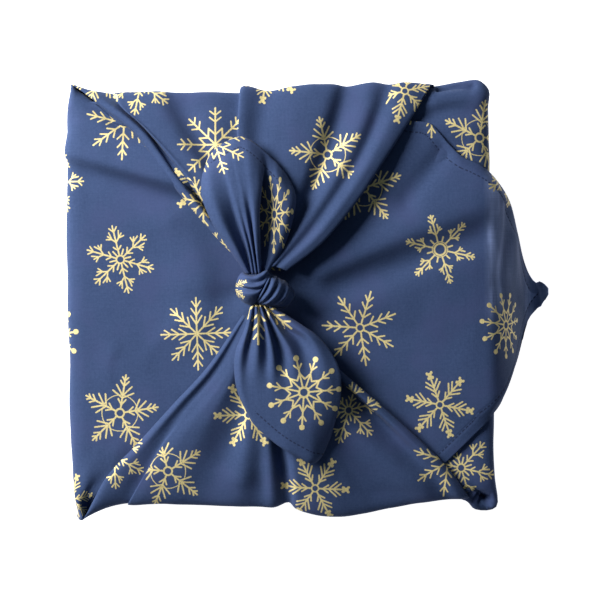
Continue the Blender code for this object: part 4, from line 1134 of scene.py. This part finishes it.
class Finish:
    """A material and the one method that adds its nodes."""

    def __init__(self, name):
        self.material = bpy.data.materials.new(name)
        self.material.use_nodes = True
        self.nodes = self.material.node_tree.nodes
        self.links = self.material.node_tree.links
        self.shader = self.nodes["Principled BSDF"]

    def node(self, kind, values=(), output=0, ramp=None, **settings):
        """Adds a node, sets it up, then feeds its sockets in order, or by name where values is a dict."""
        made = self.nodes.new(kind)
        for name, value in settings.items():
            setattr(made, name, value)
        if ramp is not None:
            self.fill_ramp(made.color_ramp, ramp)
        pairs = values.items() if isinstance(values, dict) else enumerate(values)
        for key, value in pairs:
            self.feed(made.inputs[key], value)
        return Value(self, made.outputs[output])

    @staticmethod
    def fill_ramp(ramp, stops):
        ramp.interpolation = "CONSTANT"
        while len(ramp.elements) < len(stops):
            ramp.elements.new(0.5)
        for element, (position, colour) in zip(ramp.elements, stops):
            element.position = position
            element.color = colour

    def feed(self, socket, value):
        if isinstance(value, Value):
            self.links.new(value.socket, socket)
        else:
            socket.default_value = value

    def vector(self, operation, *values, output=0):
        return self.node("ShaderNodeVectorMath", values, output=output, operation=operation)

    def uv(self, name):
        """The two numbers of a UV map."""
        place = self.node("ShaderNodeUVMap", uv_map=name)
        x = self.node("ShaderNodeSeparateXYZ", [place], output="X")
        y = self.node("ShaderNodeSeparateXYZ", [place], output="Y")
        return x, y

    def noise(self, vector, scale, detail=2.0, roughness=0.5):
        return self.node("ShaderNodeTexNoise", {"Vector": vector, "Scale": scale, "Detail": detail,
                                                "Roughness": roughness}, output="Fac")

    def weave_noise(self, along, across, detail=3.0, roughness=0.5):
        """Noise in the cloth's own measure, finer along or across where that number is higher."""
        place = self.node("ShaderNodeUVMap", uv_map="weave")
        return self.noise(self.vector("MULTIPLY", place, (along, across, 1.0)), 1.0, detail, roughness)

    def blend(self, share, low, high):
        """A colour between two colours."""
        made = self.nodes.new("ShaderNodeMix")
        made.data_type = "RGBA"
        for index, value in zip(COLOUR_MIX_INPUTS, (share, low, high)):
            self.feed(made.inputs[index], value if isinstance(value, (Value, float)) else (*value, 1.0))
        return Value(self, made.outputs[COLOUR_MIX_OUTPUT])

    def bump(self, height, strength, distance):
        return self.node("ShaderNodeBump", {"Strength": strength, "Distance": distance, "Height": height})


def kind_stops(pick):
    """Ramp stops that give pick(kind) = (x, y, width) for every kind of motif."""
    stops = []
    for index, kind in enumerate(KINDS):
        x, y, wide = pick(kind)
        stops.append((index / len(KINDS), (x, y, 0.0, wide)))
    return stops


def motif_strokes(kind):
    """The strokes of a motif in the wedge beside one arm: start, end and half width."""
    half = math.pi / kind.arms
    strokes = [((kind.arm[0], 0.0), (kind.arm[1], 0.0), HALF_STROKE)]
    for along, across, far_along, far_across in kind.twigs:
        strokes.append(((along, across), (far_along, far_across), HALF_STROKE * 0.9))
    if kind.gap:
        ends = [(reach * math.cos(half), reach * math.sin(half)) for reach in kind.gap]
        strokes.append((*ends, HALF_STROKE))
    for at, off, wide in kind.beads:
        strokes.append(((at, off), (at + 0.01, off), wide))
    if kind.petal:
        tip, gap = kind.petal
        strokes.append(((tip, 0.0), (gap * math.cos(half), gap * math.sin(half)), HALF_STROKE))
    while len(strokes) < STROKES:
        strokes.append(strokes[0])
    return strokes


def print_mask(look, ragged):
    """1 on the foil of the nearest motif and 0 off it, with an edge that ragged moves out or in."""
    x, y = look.uv("print")
    kind = look.node("ShaderNodeAttribute", output="Fac", attribute_name="kind")
    choice = (kind + 0.5) / len(KINDS)
    reach = (x * x + y * y).math("SQRT")
    turn = y.math("ARCTAN2", x)
    arm_stops = kind_stops(lambda k: (k.arms / MOST_ARMS, 0.0, 1.0))
    arms = look.node("ShaderNodeValToRGB", [choice], ramp=arm_stops)
    spacing = (look.node("ShaderNodeSeparateColor", [arms]) * (MOST_ARMS / (2 * math.pi))).math("POWER", -1.0)
    swing = turn - spacing * (turn / spacing + 0.5).floor()
    along = reach * swing.cosine()
    across = abs(reach * swing.sine())
    point = look.node("ShaderNodeCombineXYZ", [along, across, 0.0])
    table = {kind: motif_strokes(kind) for kind in KINDS}
    inside = None
    for index in range(STROKES):
        start_stops = kind_stops(lambda k: (*table[k][index][0], table[k][index][2]))
        end_stops = kind_stops(lambda k: (*table[k][index][1], 1.0))
        start = look.node("ShaderNodeValToRGB", [choice], ramp=start_stops)
        wide = Value(look, start.socket.node.outputs["Alpha"])
        end = look.node("ShaderNodeValToRGB", [choice], ramp=end_stops)
        arm = look.vector("SUBTRACT", end, start)
        offset = look.vector("SUBTRACT", point, start)
        share = look.vector("DOT_PRODUCT", offset, arm, output="Value") \
            / look.vector("DOT_PRODUCT", arm, arm, output="Value")
        reached = look.vector("SCALE", arm, output=0)
        look.feed(reached.socket.node.inputs["Scale"], share.clamped())
        gone = look.vector("DISTANCE", offset, reached, output="Value")
        depth = wide - gone
        inside = depth if inside is None else inside.larger(depth)
    for radius, width in (("ring", "ring_wide"), ("hoop", "hoop_wide")):
        stops = kind_stops(lambda k: (getattr(k, radius), 0.0, getattr(k, width)))
        ring = look.node("ShaderNodeValToRGB", [choice], ramp=stops)
        wide = Value(look, ring.socket.node.outputs["Alpha"])
        place = look.node("ShaderNodeSeparateColor", [ring])
        depth = wide - abs(reach - place) - wide.math("LESS_THAN", 0.001)
        inside = inside.larger(depth)
    return ((inside + ragged) / EDGE_BLUR + 0.5).clamped()


def woven(look):
    """Height and shade of a plain weave, in the cloth's own measure."""
    x, y = look.uv("weave")
    pitch = 2 * math.pi / THREAD_PITCH
    height = 0.5 + 0.5 * ((x * pitch).sine() * (y * pitch).sine())
    streaks = look.weave_noise(2.4, 0.06) + look.weave_noise(0.06, 2.4)
    clouds = look.weave_noise(0.03, 0.03)
    grain = look.weave_noise(1.3, 1.3, 2.0)
    creases = look.weave_noise(0.11, 0.11, 4.0, 0.6)
    return height, streaks, clouds, grain, creases


def hem_marks(look):
    """The sewn line and the doubled cloth along a free edge."""
    away, along = look.uv("hem")
    line = 1 - abs(away - HEM_WIDE).step(0.22, 0.55)
    dash = (along * (2 * math.pi / STITCH)).sine().step(-0.55, -0.2)
    doubled = 1 - away.step(HEM_WIDE - 0.2, HEM_WIDE + 0.9)
    pucker = 1 - abs(away - HEM_WIDE).step(0.4, 1.8)
    return line * dash, doubled, pucker


def cotton(name, printed):
    """Navy cotton, with or without its foil print."""
    look = Finish(name)
    height, streaks, clouds, grain, creases = woven(look)
    stitch, doubled, pucker = hem_marks(look)
    sheer = look.node("ShaderNodeAttribute", output="Fac", attribute_name="sheer")
    mottle = look.weave_noise(0.62, 0.62)
    shade = (clouds - 0.5) * 0.7 + (streaks - 1.0) * 0.5 + (grain - 0.5) * 0.6 + (mottle - 0.5) * 0.9 + 0.58
    colour = look.blend(shade.clamped(), NAVY_DEEP, NAVY)
    colour = look.blend(clouds.step(0.45, 0.7) * 0.5, colour, NAVY_PLUM)
    drawn = look.weave_noise(0.13, 0.025)
    # Painted light: a lighter navy where light through the hanging corner and on its shaded tip is painted,
    # less on the doubled hem, streaked along drawn threads
    painted_light_share = sheer * (1 - doubled * 0.6) * (0.7 + 0.3 * streaks.step(0.7, 1.3))
    painted_light_share = painted_light_share * (0.35 + 0.65 * drawn.step(0.3, 0.7))
    colour = look.blend(painted_light_share, colour, NAVY_PAINTED_LIGHT)
    # The stitches: navy thread, painted near black as painted shade where they sink into the cloth
    colour = look.blend(stitch * 0.85, colour, THREAD_IN_PAINTED_SHADE)
    raised = height * 0.10 + creases * 0.55 + grain * 0.12 - stitch * 0.25 - pucker * 0.3 + doubled * 0.35
    rough = COTTON_ROUGH
    if printed:
        mask = print_mask(look, (grain - INK_SPREAD) * 0.022)
        worn = look.weave_noise(3.4, 3.4, 2.0).step(0.3, 0.42)
        mask = mask * (0.25 + 0.75 * worn)
        gold = look.blend(streaks.step(0.7, 1.3), GOLD_DULL, GOLD)
        colour = look.blend(mask, colour, gold)
        look.feed(look.shader.inputs["Metallic"], mask * FOIL_METAL)
        rough = COTTON_ROUGH - mask * FOIL_SMOOTH
        raised = raised + mask * 0.1
    look.feed(look.shader.inputs["Roughness"], rough)
    look.feed(look.shader.inputs["Base Color"], colour)
    look.feed(look.shader.inputs["Normal"], look.bump(raised, 0.6, 0.0006))
    look.shader.inputs["Sheen Weight"].default_value = 0.05
    look.shader.inputs["Sheen Roughness"].default_value = 0.4
    look.shader.inputs["Specular IOR Level"].default_value = 0.25
    return look.material


def board(name):
    """Plain uncoated box board."""
    look = Finish(name)
    place = look.node("ShaderNodeTexCoord", output="Object")
    fibres = look.noise(look.vector("MULTIPLY", place, (900.0, 240.0, 900.0)), 1.0, 4.0)
    specks = look.noise(place, 1800.0, 2.0).step(0.62, 0.72)
    colour = look.blend(fibres, tuple(c * 0.86 for c in BOARD), BOARD)
    colour = look.blend(specks * 0.35, colour, tuple(c * 0.6 for c in BOARD))
    look.feed(look.shader.inputs["Base Color"], colour)
    look.feed(look.shader.inputs["Roughness"], 0.8 + fibres * 0.12)
    look.feed(look.shader.inputs["Normal"], look.bump(fibres, 0.3, 0.0002))
    return look.material


def make_cloth():
    """The whole cloth as one piece, printed outside and plain inside."""
    sheets = Sheets()
    floor_sheet(sheets)
    buried_sheet(sheets)
    right_sheet(sheets)
    left_sheet(sheets)
    for name, lines, side in (("back", BACK_LINES, 1), ("front", FRONT_LINES, -1)):
        lining(sheets, lines, side)
        band(sheets, name, lines, side)
    ear(sheets, "upper ear", UPPER_EAR, 3, 10)
    ear(sheets, "lower ear", LOWER_EAR, 2, 8)
    ear_lining(sheets, UPPER_EAR)
    ear_lining(sheets, LOWER_EAR)
    knot_turn(sheets, "knot 0", KNOT_OVER)
    knot_turn(sheets, "knot 1", KNOT_COLLAR)
    bm = sheets.bm
    bmesh.ops.remove_doubles(bm, verts=bm.verts, dist=MERGE)
    bmesh.ops.scale(bm, vec=(MM, MM, MM), verts=bm.verts)
    mesh = bpy.data.meshes.new("wrap_cloth_fabric")
    bm.to_mesh(mesh)
    bm.free()
    mesh.materials.append(cotton("printed cotton", True))
    mesh.materials.append(cotton("cotton back", False))
    mesh.shade_smooth()
    cloth = bpy.data.objects.new("wrap_cloth_fabric", mesh)
    bpy.context.collection.objects.link(cloth)
    thick = cloth.modifiers.new("Fabric thickness", "SOLIDIFY")
    thick.thickness = FABRIC * MM
    thick.offset = 0.0
    thick.use_even_offset = False
    thick.material_offset = 1
    thick.material_offset_rim = 0
    return cloth


def plain_floor():
    """A bright white floor, just under the part."""
    bm = bmesh.new()
    bmesh.ops.create_grid(bm, x_segments=1, y_segments=1, size=FLOOR_SIZE)
    bmesh.ops.translate(bm, vec=(0, 0, -FLOOR_DROP), verts=bm.verts)
    mesh = bpy.data.meshes.new("floor")
    bm.to_mesh(mesh)
    bm.free()
    look = Finish("pale floor")
    look.shader.inputs["Base Color"].default_value = (0.8, 0.8, 0.8, 1.0)
    look.shader.inputs["Emission Color"].default_value = (1.0, 1.0, 1.0, 1.0)
    look.shader.inputs["Emission Strength"].default_value = 1.0
    mesh.materials.append(look.material)
    made = bpy.data.objects.new("floor", mesh)
    bpy.context.collection.objects.link(made)


def studio():
    """Soft light from the left and behind, as from a window, and pale surroundings."""
    world = bpy.data.worlds.new("studio")
    world.use_nodes = True
    backdrop = world.node_tree.nodes["Background"].inputs
    backdrop["Color"].default_value = (*SKY, 1.0)
    backdrop["Strength"].default_value = SKY_STRENGTH
    bpy.context.scene.world = world
    light = bpy.data.lights.new("window", "AREA")
    light.shape = "SQUARE"
    light.size = WINDOW_SIZE
    light.energy = WINDOW_POWER
    made = bpy.data.objects.new("window", light)
    made.location = WINDOW
    made.rotation_euler = (Vector(WINDOW_AIM) - Vector(WINDOW)).to_track_quat("-Z", "Y").to_euler()
    bpy.context.collection.objects.link(made)
    bpy.context.scene.view_settings.view_transform = "Standard"


def camera():
    """Straight above the part, with its roll."""
    data = bpy.data.cameras.new("camera")
    data.sensor_width = SENSOR
    data.lens = SENSOR * CAMERA_STAND / PICTURE_SIDE
    made = bpy.data.objects.new("camera", data)
    made.location = (LOOK_AT[0] * MM, LOOK_AT[1] * MM, (LOOK_PLANE + CAMERA_STAND) * MM)
    made.rotation_euler = (0.0, 0.0, math.radians(CAMERA_TURN))
    bpy.context.collection.objects.link(made)
    bpy.context.scene.camera = made


def main():
    camera()
    studio()
    plain_floor()
    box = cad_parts["gift_box"]
    box.data.materials.clear()
    box.data.materials.append(board("box board"))
    cloth = make_cloth()
    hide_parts("wrap_cloth")
    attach(cloth, "root")


main()
